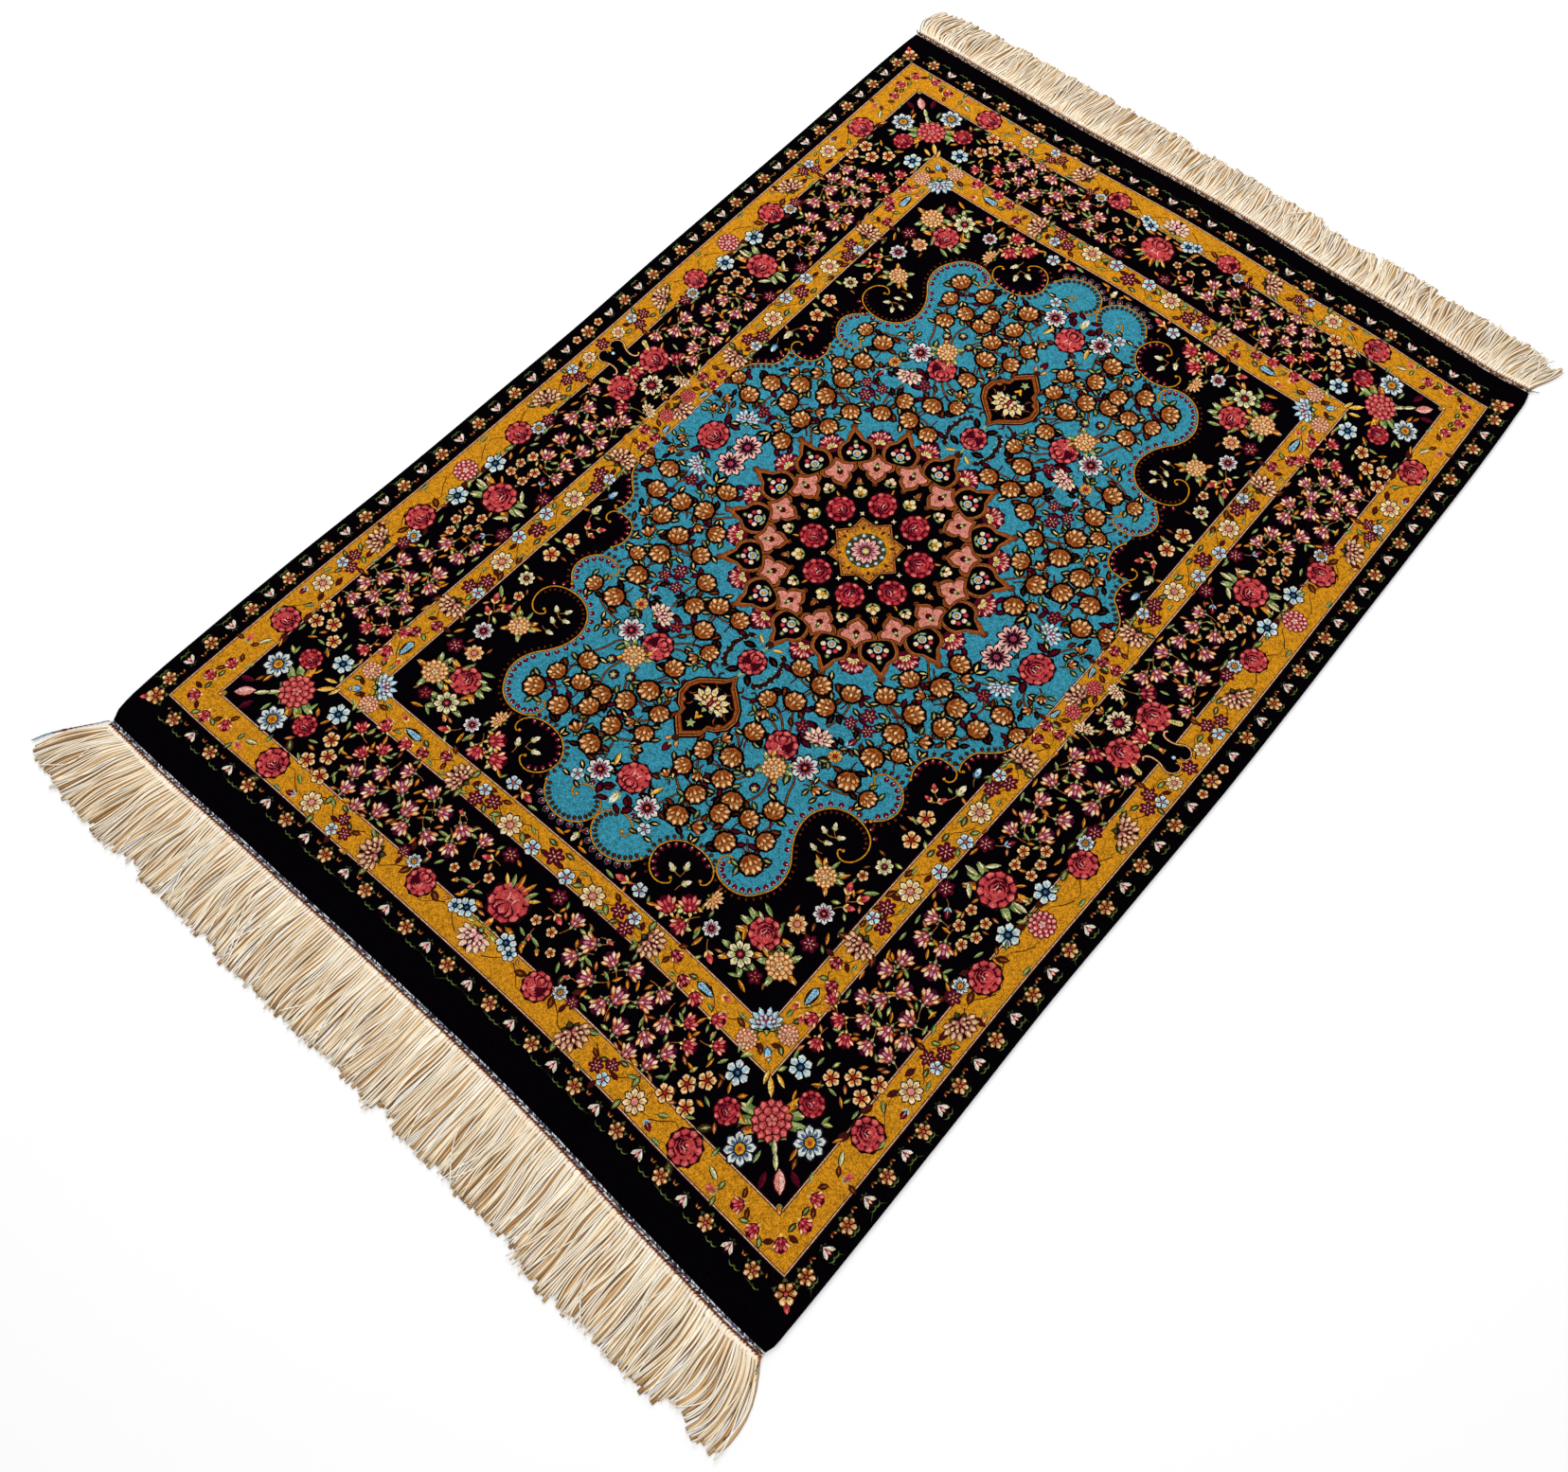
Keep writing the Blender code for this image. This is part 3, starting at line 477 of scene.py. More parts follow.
# the drawing of one quarter, in millimetres: x across from the middle, y towards the end
# each flower, bud or leaf: motif, x, y, size, turn; placed where the photo shows it
layout = {
    "fieldFlowers": rowsOf("""
    lotusBud 62 274 11.5 270, sideBud 44 301 8.5 290, lotusBud 64 315 12.5 90, lotusBud 34 329 11 150,
    lotusBud 75 342 12 40, lotusBud 101 355 12 60, lotusBud 30 359 10.5 120, sideBud 52 359 8 60,
    lotusBud 65 376 11.5 30, lotusBud 101 375 11.5 350, lotusBud 130 358 11 300, lotusBud 161 366 10.5 0,
    lotusBud 144 332 11.5 250, lotusBud 128 397 12 20, lotusBud 167 397 12.5 30, lotusBud 67 409 12.5 70,
    sideBud 94 404 10.5 330, sideBud 22 379 7.5 200, sideBud 163 283 8 0, lotusBud 182 51 12 300,
    sideBud 200 63 9 330, lotusBud 185 90 12.5 20, lotusBud 151 105 11.5 200, sideBud 173 114 8.5 160,
    lotusBud 215 100 12.5 340, lotusBud 250 107 12 270, lotusBud 260 75 12 90, sideBud 277 52 8 120,
    sideBud 281 30 7.5 60, lotusBud 288 85 9.5 20, lotusBud 144 140 11.5 230, lotusBud 184 138 12.5 300,
    lotusBud 220 130 12.5 280, sideBud 239 140 9.5 0, sideBud 216 158 10.5 325, lotusBud 113 164 11.5 250,
    lotusBud 80 178 12 300, lotusBud 48 176 11.5 250, lotusBud 183 172 12.5 90, lotusBud 102 197 11.5 160,
    lotusBud 204 189 9.5 260, lotusBud 71 214 12 270, lotusBud 183 211 12.5 90, lotusBud 45 232 10.5 180,
    sideBud 55 250 8.5 60, lotusBud 182 251 12.5 60, lotusBud 213 253 10 0, smallStar 228 68 9.5 90,
    star 147 173 10.5 90, star 136 193 9 60, star 158 189 9 20, smallStar 98 232 9.5 90,
    violet9 208 16 20 0, rose 253 2 20 0, whiteLotus 238 48 12 60, cabbage 97 266 19.5 60,
    violet 135 270 17.5 20, leafPeony 109 293 15 90, grape 92 316 6.2 90, grape 125 313 6.2 60,
    grape 109 326 6.2 90, paleLotus 122 230 13 250, gold8 151 237 9 0, maroonBud 154 212 8 280,
    cabbage 0 407 20 270, violet 36 425 16 45, blue5 51 446 8.5 60, creamBud 0 440 9.5 90,
    yellowLeaf 30 402 9 290, cabbage 0 208 17.5 90"""),
    "spandrelFlowers": rowsOf("""
    creamBud 207 301 5.5 240, creamBud 221 307 5.5 320, creamBud 200 312 5.5 200,
    creamBud 214 321 5.5 330, creamBud 204 335 5.5 190, leafPeony 237 352 14 90, cream8b 278 301 10.8 90,
    tan5 267 324 7 0, redBud 265 344 8.5 250, redBud 285 343 8.5 300, redBud 280 361 7.5 330,
    violet 263 384 13 0, tan8 249 412 12 0, star 273 419 10.5 90, leafRose 230 444 19.5 90,
    leafPeony 265 459 17 45, leafDaisy 225 479 16 90, smallStar 253 486 9 90, violet 183 480 11 0,
    leafTulip 147 476 12.5 225, leafTulip 129 494 12.5 200, leafTulip 155 503 11 100, peony 165 455 9.5 0,
    blue5 96 502 9.8 90, redBud 72 505 9 170, redBud 203 505 8.5 30, creamBud 104 458 6.5 200,
    creamBud 116 446 6.5 250, creamBud 129 461 6.5 300, creamBud 0 504 7 90, tan5 276 229 11.5 270,
    tan5 280 259 11.5 90, blueBud 284 150 7.5 260, creamBud 284 178 8.5 270, redBud 259 195 6.5 225,
    redBud 276 201 6.5 300, redBud 262 209 5.5 180, leaf 268 239 6 200, leaf 287 333 9 320,
    leaf 175 495 8 80, goldLeaf 181 501 8 100, goldLeaf 117 504 7 150, leaf 216 422 9 200,
    goldLeaf 214 460 8 240, creamLeaf 214 432 6 200, goldLeaf 219 342 7 200, leaf 237 335 7 280,
    goldLeaf 253 338 7 300, leaf 290 387 7 80, goldLeaf 284 402 7 60, leaf 241 430 7 250,
    goldLeaf 249 503 8 20, leaf 235 500 7 150, leaf 59 510 7 10, goldLeaf 17 510 7 0"""),
    "outerGold": rowsOf("""
    cream8 456 27 10 0, star 443 56 9.5 90, star 452 71 9.5 60, blue5 459 55 8.5 30, goldBud 423 0 6 180,
    redTulip 448 604 8.5 340, redTulip 455 629 8.5 0, redTulip 449 657 8.8 45, redTulip 419 666 8.5 100,
    redTulip 392 659 8.5 130, creamLeaf 354 654 8 20, creamLeaf 441 561 8 60, bud 362 666 7.5 170,
    bud 458 570 7.5 280, rose 316 656 18.5 0, rose 446 525 18.5 0, goldBud 426 635 5.5 45,
    cabbage 88 647 16.5 90, blue8 111 636 8.8 0, star 128 635 7.5 0, duskLotus 154 659 15 30,
    star 192 662 8.5 90, star 205 651 8 60, blue5 207 667 8 30, cream8 247 660 13.5 0,
    maroonBud 273 667 6.5 20, edgedLeaf 278 650 6.5 330, carnation 447 244 16.5 0, rose 438 165 17 0,
    rose 437 324 18.5 0, blue8 425 144 10 0, blue8 423 347 10 0, star 425 128 9.5 0, star 425 361 9.5 0,
    duskLotus 452 107 14.5 330, duskLotus 451 379 14.5 30, star 454 411 9 60, star 444 425 9 90,
    blue5 457 427 8 30, cream8 452 462 13.5 0, maroonBud 461 484 6.5 90, edgedLeaf 440 493 6.5 45,
    edgedLeaf 463 523 6 90, edgedLeaf 290 672 6 0, edgedLeaf 464 200 6.5 90, edgedLeaf 466 292 6.5 270,
    edgedLeaf 433 203 6 120, edgedLeaf 433 284 6 60, edgedLeaf 300 633 5.5 150, edgedLeaf 168 641 6 150,
    edgedLeaf 228 645 6 150, edgedLeaf 430 90 6 100, edgedLeaf 462 446 6 70, edgedLeaf 430 399 6 70,
    goldBud 178 676 6 20, goldBud 463 126 6 110, goldBud 463 356 6 60"""),
    "mainBorder": rowsOf("""
    rose 391 30 20.5 0, lace10 365 0 17 0, leafTulip 394 0 12 180, greenFeather 414 38 10.5 200,
    maroonTulip 369 51 11.5 40, lotus 340 30 9 250, sideBud 340 0 7.5 180, edgedLeaf 416 0 8 0,
    redBud 380 16 5 120, goldLeaf 337 45 7 0, leafCarnation 364 581 22.5 225, blue8 407 571 17.5 0,
    blue8 358 621 17.5 0, darkRose 384 542 14.5 0, darkRose 324 604 14.5 0, inkwhite 351 522 14 0,
    inkwhite 306 571 14 0, salmonLeaf 409 617 12 45, darkLeaf 419 605 9 20, darkLeaf 395 627 9 70,
    creamLeaf 384 598 9 45, creamLeaf 393 606 9 45, yellowLeaf 341 558 11 225, yellowLeaf 331 554 8 250,
    yellowLeaf 345 547 8 200, tulip 70 572 9.5 270, tulip 96 581 11.5 150, tulip 127 578 10.5 200,
    tulip 155 570 10.5 330, tulip 186 585 11 320, tulip 195 569 9.5 20, tulip 216 589 10.5 60,
    tulip 160 599 12 270, tulip 92 604 10.5 120, tulip 120 609 11 160, tulip 151 620 10.5 90,
    tulip 183 620 11 270, tulip 211 611 10.5 30, tulip 239 605 10.5 300, tulip 231 624 10 270,
    tulip 207 631 9.5 270, redTulip 222 548 9.5 30, redTulip 255 547 9.5 330, redTulip 235 568 9.5 300,
    redTulip 251 586 9.5 340, redTulip 274 565 9 320, tan5 275 613 10.5 0, tan5 288 597 10.5 30,
    tan5 264 634 10.5 0, tan5 290 630 10.5 50, leafRose 386 244 22 90, creamLeaf 366 226 9 135,
    creamLeaf 352 244 9.5 180, creamLeaf 364 263 9 225, creamLeaf 418 244 9.5 0, inkwhite 427 214 14.5 0,
    inkwhite 427 275 14.5 0, star 344 211 10 0, star 344 277 10 0, tan5 380 192 7.5 0,
    tan5 399 177 7.5 30, tan5 404 193 7 0, tan5 383 210 7 0, tan5 404 209 7 40, tan5 380 278 7 0,
    tan5 401 280 7 30, tan5 381 299 7.5 0, tan5 403 298 7 40, tan5 396 313 7 0, maroonBud 364 194 7 300,
    maroonBud 363 297 7 60, tulip 352 63 10 270, tulip 365 78 11 330, tulip 414 57 9.5 240,
    tulip 400 80 10.5 250, tulip 379 101 11.5 60, tulip 350 107 10.5 200, tulip 405 107 11 90,
    tulip 358 131 11 270, tulip 392 136 11 330, tulip 359 158 10.5 250, tulip 387 163 10.5 300,
    tulip 353 180 9.5 200, tulip 353 311 9.5 160, tulip 360 335 10.5 110, tulip 386 330 10.5 60,
    tulip 391 355 11 70, tulip 360 363 11 270, tulip 352 385 10.5 150, tulip 381 389 11.5 300,
    tulip 406 377 11 270, tulip 368 413 10.5 120, tulip 403 409 11 180, tulip 352 423 9.5 160,
    tulip 416 429 10.5 60, tulip 395 435 10.5 90, tulip 370 441 10 100, tulip 410 452 10 180,
    tulip 389 460 10 90, redTulip 329 446 9 200, redTulip 327 477 9.5 110, redTulip 349 459 9.5 120,
    redTulip 368 470 9.5 60, redTulip 348 493 9 70, tan5 399 492 10.5 0, tan5 423 479 10 30,
    tan5 382 508 10 0, tan5 418 502 10.5 40, cabbage 0 604 24 270, inkwhite 30 636 12 90,
    inkwhite 41 642 9 90, paleLotus 0 656 15 90, goldBud 0 633 8 270, star 37 566 9.5 90,
    redBud 54 584 7.5 20, tan5 36 599 6.5 0, tan5 58 598 6.5 30, tan5 73 614 6 0, leaf 13 584 8 300,
    yellowLeaf 20 587 7 320, goldLeaf 6 580 9 285, leaf 52 616 7 10, leaf 34 617 6 20, bud 44 617 4.5 60,
    goldBud 62 623 4.5 45, goldBud 45 626 4.5 60, bud 113 566 5 0, bud 104 621 4.5 150, leaf 90 620 6 60,
    leaf 110 595 7 10, leaf 88 570 5 240, leaf 135 593 6 20, leaf 172 605 6 70, leaf 140 631 6 10,
    leaf 196 602 6 250, goldLeaf 167 579 6 60, goldLeaf 146 588 6 120, leaf 224 571 6 200,
    goldLeaf 242 560 6 290, leaf 262 562 6 260, leaf 252 611 6 250, goldLeaf 220 636 6 20,
    leaf 250 626 6 320, leaf 302 611 6 20, goldLeaf 310 587 6 60, goldLeaf 278 583 6 90,
    leaf 287 573 6 300, goldLeaf 266 599 6 10, leaf 291 551 6 250, leaf 304 550 6 320,
    goldLeaf 319 539 6 300, leaf 335 583 7 260, goldLeaf 340 599 7 200, leaf 376 615 7 80,
    goldLeaf 402 590 7 80, leaf 430 594 6 60, goldLeaf 427 551 6 300, leaf 405 544 6 280,
    goldLeaf 365 548 6 250, goldLeaf 372 561 6 280, leaf 339 515 6 260, leaf 363 503 6 270,
    leaf 392 518 6 0, goldLeaf 375 524 6 320, goldLeaf 405 520 6 40, leaf 424 519 6 90, leaf 339 431 6 80,
    goldLeaf 337 406 6 260, leaf 377 424 6 30, goldLeaf 389 419 6 60, leaf 424 406 6 80,
    goldLeaf 420 389 6 280, leaf 371 374 6 30, goldLeaf 373 400 6 320, goldLeaf 344 371 6 250,
    leaf 343 346 6 270, leaf 403 344 6 300, goldLeaf 414 357 6 30, goldLeaf 375 344 6 60,
    leaf 343 322 6 80, goldLeaf 374 312 6 0, leaf 417 310 6 290, goldLeaf 424 326 6 80, leaf 408 260 6 40,
    goldLeaf 403 225 6 320, leaf 341 259 6 80, goldLeaf 340 226 6 280, leaf 411 164 6 60,
    goldLeaf 416 179 6 100, leaf 372 177 6 20, goldLeaf 373 147 6 60, leaf 339 142 6 250,
    goldLeaf 339 120 6 80, leaf 374 118 6 340, goldLeaf 409 126 6 60, leaf 415 141 6 100,
    leaf 392 92 6 300, goldLeaf 418 89 6 70, goldLeaf 335 79 6 280, leaf 345 89 6 40, leaf 383 63 6 10,
    goldLeaf 397 52 6 60"""),
    "innerGold": rowsOf("""
    duskLotus 308 0 14 180, redCarnation 318 20 10.5 200, feather 304 35 8 280, maroonTulip 306 54 8.5 80,
    maroonTulip 324 54 8.5 100, maroonTulip 308 74 8.5 280, star 0 536 12 90, blue5 26 545 10.5 90,
    cream8 63 542 15 90, star 96 534 10.5 90, star 114 544 10.5 60, blue5 114 529 8.5 90,
    duskLotus 148 537 14.5 0, maroonTulip 176 528 8.5 10, maroonTulip 199 543 8.5 20,
    feather 223 533 12 0, redBud 246 524 6.5 340, redBud 257 539 6.5 20, edgedLeaf 39 529 5.5 330,
    edgedLeaf 81 549 5.5 330, edgedLeaf 130 548 5 20, edgedLeaf 164 547 5 20, edgedLeaf 185 546 5 170,
    edgedLeaf 239 543 5 20, whiteLotus 292 511 14 225, salmonCarn 290 540 12.5 100,
    salmonCarn 320 506 12.5 350, blueBud 317 536 8.5 45, edgedLeaf 271 526 6 0, edgedLeaf 306 488 6 90,
    star 317 245 11.5 0, blue5 327 267 10 0, blue5 326 223 10 0, cream8 317 304 14.5 0,
    cream8 316 186 14.5 0, star 310 334 10.5 0, star 320 352 10.5 0, blue5 306 352 8.5 0,
    star 308 155 10.5 0, star 318 138 10.5 0, blue5 304 137 8.5 0, duskLotus 315 386 14.5 90,
    duskLotus 313 103 14.5 270, maroonTulip 308 415 8.5 90, maroonTulip 321 437 8.5 100,
    feather 312 459 12 90, edgedLeaf 305 283 5.5 80, edgedLeaf 305 206 5.5 280, edgedLeaf 325 325 5 100,
    edgedLeaf 324 164 5 260, edgedLeaf 302 373 5 80, edgedLeaf 301 117 5 280, edgedLeaf 326 406 5 80,
    redBud 306 478 6 100, redBud 319 485 6 60"""),
}

# the field's edge, the scrolls and the stems follow the lines of the photo
outlines = {
    "turquoiseEdge": rowsOf("""
    290.8 102.8, 283.1 118.5, 270.3 130, 264.4 139.8, 263.7 150.8, 265.9 159.8, 264 164.8, 253.8 161.5,
    239.7 163.2, 229.9 175.1, 227.2 189, 232.6 203.1, 235 217.1, 244.5 233.1, 247.5 247, 242.2 260.8,
    232.3 270.8, 228.4 278.7, 212.3 278.4, 196.2 282.8, 184.3 293.9, 177.5 307.1, 176.8 323.3, 180 337.4,
    187.2 349.5, 197.5 363.6, 203.7 375.7, 204.8 392.1, 200 408.7, 190.1 423.4, 174.1 433.1, 158.1 434.1,
    146.1 430.7, 140 429.8, 125.9 423.8, 107.9 422.9, 90 429.3, 78.2 443.9, 77.4 460.5, 74.6 471.9,
    64.8 485.3, 48.9 495.5, 29 497.9, 11 491.1, 2.9 480.7, 0.2 466.2"""),
    "scroll1": rowsOf("""
    294.6 93.9, 293.8 100.9, 289 111.7, 277.2 123.3, 267.3 131.9, 263.5 143.8, 264.3 155.8, 268 161.9,
    270.9 158.9"""),
    "scroll2": rowsOf("""
    260.3 179.6, 265.4 180.2, 269.8 174.8, 268.1 166.8, 261.9 162.2, 251.8 161.5, 239.7 163.2,
    231.8 170.1, 228 180, 227.3 191, 232.7 204.1"""),
    "scroll3": rowsOf("""
    204.2 236.8, 207.2 232.8, 201.5 229.8, 202.3 221.8, 208.8 217.3, 220.9 215.9, 233.1 219.6,
    242.4 228.1, 247.2 239, 247.5 249.9, 243.2 259.8, 232.3 270.8"""),
    "scroll4": rowsOf("""
    232.1 316.6, 227.1 318.7, 230.2 324.1, 238.3 326, 246.9 321.3, 252.3 311.3, 252.6 298.4, 246.8 288.1,
    235.6 281.2, 221.4 278.2, 206.2 279.3, 193.2 284.8, 182.4 296, 177 309.1, 176.8 324.3, 181.1 339.5,
    189.3 353.6, 199.5 367.6, 204.7 382.8, 204.4 398.2, 198 412.8, 188.1 425.5, 173.1 433.1, 158.1 434,
    145.5 429.6, 138.4 420.4, 137.8 411.1, 143.7 404.3, 148.8 406.3, 146.8 411"""),
    "scroll5": rowsOf("""
    138.3 449.5, 140.8 452, 145.8 448.3, 146.7 440.5, 140.5 429.7, 127.9 423.7, 110.9 422.4, 93.9 426.7,
    81.6 437.7, 76.3 451.1, 78.5 464.6, 86.6 476, 98.6 481.1, 108.6 478.9, 114.5 471.6, 111 468.5"""),
    "scroll6": rowsOf("""
    72.1 473.9, 64.8 485.3, 50.9 494.5, 35 498, 19 494.8, 7 485.4, 1.3 474.5, 2.6 461, 10.4 451.3,
    22.3 447.2, 34.3 448.9, 42.4 456.2, 42 464.5, 36.6 468.6, 34.6 464.4"""),
    "stems": [rowsOf(stem) for stem in """
    16.7 360.5, 37.1 377.2, 59.3 388.7, 85.4 392.9, 109.4 389.6, 129.3 379.1, 147.3 368.5;
    148.5 319.4, 142.3 307.3, 135.9 289, 123.6 278.9;
    100.8 354.5, 112.7 344.2, 118.5 327.8, 114.1 307.4, 103.6 285;
    74.5 342.2, 86.4 332, 92.2 321.7, 93.8 299.2; 34.1 328.8, 46.3 336, 58.3 334, 66.2 325.8;
    51.8 358.7, 42.5 348.3, 36.3 340.1; 65.1 376.3, 53.2 383.5, 45.5 400.1, 41.7 412.6;
    127.6 396.7, 117.4 387.5, 105.4 385.5; 166.7 397.1, 153.5 387, 143.4 376.8;
    93.6 404.3, 85.5 396, 77.4 391.9; 161.3 366.3, 149.2 362.3, 137.2 368.7;
    143.7 331.7, 153 345.9, 151.2 360.3; 185.4 248.7, 167.1 244.6, 151.1 250.6, 141.3 260.7;
    212.7 252.8, 199.7 258.8, 185.8 266.8, 163.7 270.8, 145.5 270.8; 162.9 282.9, 151.8 278.9, 143.6 274.8;
    183.4 210.6, 180.1 198.5, 183.8 184.4; 183.5 172.3, 177.1 158.1, 162.9 150.7, 152.7 147.5;
    247.8 121.3, 238.1 135.1, 223.2 144.8, 198.2 152.4, 178 152, 152.7 145.5, 132.3 135;
    215.1 100.2, 200.1 105.8, 187.9 101.4;
    184.6 90.1, 173.7 99, 167.5 90.7, 151 71.8, 138.6 54.9, 128.1 33.8; 181.7 50.9, 194.6 42, 204.5 29.9;
    200.1 62.9, 213.1 57.1, 227.1 51.5; 259.8 75.3, 253.4 56.7, 247 37.9; 277.5 51.6, 267.3 45, 259 32.2;
    249.5 107.3, 254.3 95.4, 258.1 85.4; 259.8 75.3, 274.1 82, 284.3 86.4;
    112.9 164.3, 121.2 177.6, 123.6 195.9, 120.1 216.1; 80 178.3, 77.4 193.6, 73.6 205.7;
    47.9 176.1, 57.1 187.4, 67.2 189.5, 77.2 187.5; 101.5 196.8, 111.8 203.9, 118 214.1;
    70.8 213.9, 78.1 226.1, 88.5 240.3, 94.8 252.5; 45.1 232.1, 62.2 234.1, 78.5 244.3, 88.9 256.5;
    54.6 250.4, 68.6 250.4, 82.8 256.5; 62.1 273.8, 73.4 285, 87.4 280.9;
    63.9 314.5, 61.7 301.3, 55.5 293.1, 45.3 289; 147.3 172.8, 142.9 159.6, 144.7 149.4;
    182.4 250.7, 175.6 260.7, 165.7 270.8; 204 188.7, 196.1 194.6, 189.9 188.5;
    228.4 68, 237.8 80.6, 236.1 94.7; 22.1 379.2, 31 375.1, 39.1 377.2""".split(";")],
}

drawing = {
    "bandLines": [(470, 675), (429, 637), (334, 551.5), (298, 516)],  # half sizes, outermost first
    "lineInk": ("bandDark", "bandPale", "bandDark"),
    "lineWide": 0.0010,
    "turquoiseSide": (0.2965, 0.0830),   # where the field's edge leaves the band at the side's middle
    "scrollWide": 0.0015,
    "beadPitch": 0.0098,
    "hookPitch": 0.0072,
    "guardStep": (0.0633, 0.0592),       # pitch along the ends and along the sides
    "guardStart": 0.0700,                # where the side's run starts
    "guardAt": (0.4868, 0.6918),
}


def rectangle(x, y):
    # once round anticlockwise: along the foot through every x, up through every y, back, and down
    sides = [(x[:-1], x[:-1] * 0 + y[0]), (y[:-1] * 0 + x[-1], y[:-1]),
             (x[:0:-1], x[:0:-1] * 0 + y[-1]), (y[:0:-1] * 0 + x[0], y[:0:-1])]
    return np.concatenate([np.stack(side, 1) for side in sides])


def cornered(x, y, step=0.012):
    # the quarter's rectangle from the middle to (x, y), its edges cut into short steps
    return rectangle(np.linspace(0, x, max(2, int(x / step))), np.linspace(0, y, max(2, int(y / step))))


def grounds():
    # nested rectangles from the edge inwards, each band line dark, pale, dark
    shapes = [("verge", cornered(0.505, rug["near"])), ("black", cornered(0.5022, rug["near"] - 0.0028))]
    for (x, y), ground in zip(drawing["bandLines"], ("gold", "black", "gold", "black")):
        edge = 1.5 * drawing["lineWide"]
        for ink in drawing["lineInk"]:
            shapes.append((ink, cornered(x / 1000 + edge, y / 1000 + edge)))
            edge -= drawing["lineWide"]
        shapes.append((ground, cornered(x / 1000 + edge, y / 1000 + edge)))
    edge = np.array(outlines["turquoiseEdge"], float) / 1000
    line = smoothLine(edge, 0.005)
    x, y = drawing["turquoiseSide"]
    down = np.stack([np.full(8, x), np.linspace(0, y, 8)], 1)
    flat = np.stack([np.linspace(0, x, 16)[:-1], np.zeros(15)], 1)
    middle = np.stack([np.zeros(29), np.linspace(line[-1, 1], 0.0, 30)[:-1]], 1)
    return shapes + [("turquoise", np.concatenate([flat, down, line, middle]))]


def alongLine(line, pitch, away, start=0.0, end=1.0):
    # places at even steps along a line, pushed to its left by away, and the way the line's left points
    run = np.concatenate([[0], np.cumsum(np.hypot(*np.diff(line, axis=0).T))])
    count = max(1, int((end - start) * run[-1] / pitch))
    at = run[-1] * (start + (end - start) * (np.arange(count) + 0.5) / count)
    points = np.stack([np.interp(at, run, line[:, k]) for k in (0, 1)], 1)
    ahead = np.stack([np.interp(at + 0.001, run, line[:, k]) for k in (0, 1)], 1) - points
    ahead /= np.maximum(np.linalg.norm(ahead, axis=1, keepdims=True), 1e-9)
    left = np.stack([-ahead[:, 1], ahead[:, 0]], 1)
    return points + left * away, np.degrees(np.arctan2(left[:, 1], left[:, 0]))


def scrolls():
    # gold lines that curl at their ends, beads along one side of each and hooks along the other
    bead = [("black", petal(2.5, 2.2, -1.2, 0.9, 0.5, 3)), ("maroon", petal(1.9, 1.7, -0.9, 0.9, 0.5, 3)),
            ("ruby", petal(0.9, 0.5, -0.1, 0.9, 0.5, 1)), ("blush", disc(0.32, 5, 0, -0.45))]
    blueBead = [("sky", petal(2.7, 2.36, -1.36, 0.9, 0.5, 3))] + bead
    hook = [("black", petal(2.6, 2.0, -1.2, 1.2, 0.7, 3)), ("umber", petal(2.0, 1.4, -1.0, 1.3, 0.7, 3)),
            ("brown", petal(0.9, 0.6, 0.0, 1.2, 0.7, 1))]
    rows = [  # line, side of the beads, blue rims, share of the line with beads and with hooks
        ("scroll1", -1, False, (0.15, 0.85), (0.1, 0.9)),
        ("scroll2", -1, False, (0.32, 0.98), (0.30, 1.0)),
        ("scroll3", 1, True, (0.22, 0.98), (0.12, 1.0)),
        ("scroll5", -1, False, (0.18, 0.88), (0.16, 0.82)),
        ("scroll6", -1, True, (0.06, 0.82), (0.0, 0.72))]
    shapes = []
    for name, side, blue, beaded, hooked in rows:
        line = smoothLine(np.array(outlines[name], float) / 1000, 0.003)
        beads = blueBead if blue else bead
        shapes += fringed(line, beads, drawing["beadPitch"], 0.0050 * side, beaded, 0.0031)
        shapes += fringed(line, hook, drawing["hookPitch"], -0.0042 * side, hooked, 0.0026)
    # the long scroll turns twice, so its beads and hooks come in runs
    big = smoothLine(np.array(outlines["scroll4"], float) / 1000, 0.003)
    for motif, share in ((hook, (0.14, 0.50)), (blueBead, (0.28, 0.56)), (bead, (0.17, 0.28)),
                         (blueBead, (0.58, 0.94)), (hook, (0.52, 0.92))):
        if motif is hook:
            shapes += fringed(big, motif, drawing["hookPitch"], -0.0042, share, 0.0024)
        else:
            shapes += fringed(big, motif, drawing["beadPitch"], 0.0052, share, 0.0031)
    for name in ("scroll1", "scroll2", "scroll3", "scroll5", "scroll6", "scroll4"):
        line = smoothLine(np.array(outlines[name], float) / 1000, 0.0035)
        wide = np.full(len(line), drawing["scrollWide"])
        shapes.append(("black", ribbon(line, wide + 0.0013)))
        shapes.append(("gold", ribbon(line, wide)))
        for end in (line[0], line[-1]):
            shapes += [("black", disc(0.0026, 8, *end)), ("gold", disc(0.0019, 7, *end))]
    return shapes


def fringed(line, motif, pitch, away, share, size):
    # one motif at even steps along a share of the line, its top pointing away from it
    points, turns = alongLine(line, pitch, away, *share)
    shapes = []
    for (x, y), turn in zip(points, turns):
        if 0.001 < x < 0.297 and -0.01 < y < 0.515:
            shapes += place(motif, x, y, size, turn if away > 0 else turn + 180)
    return shapes


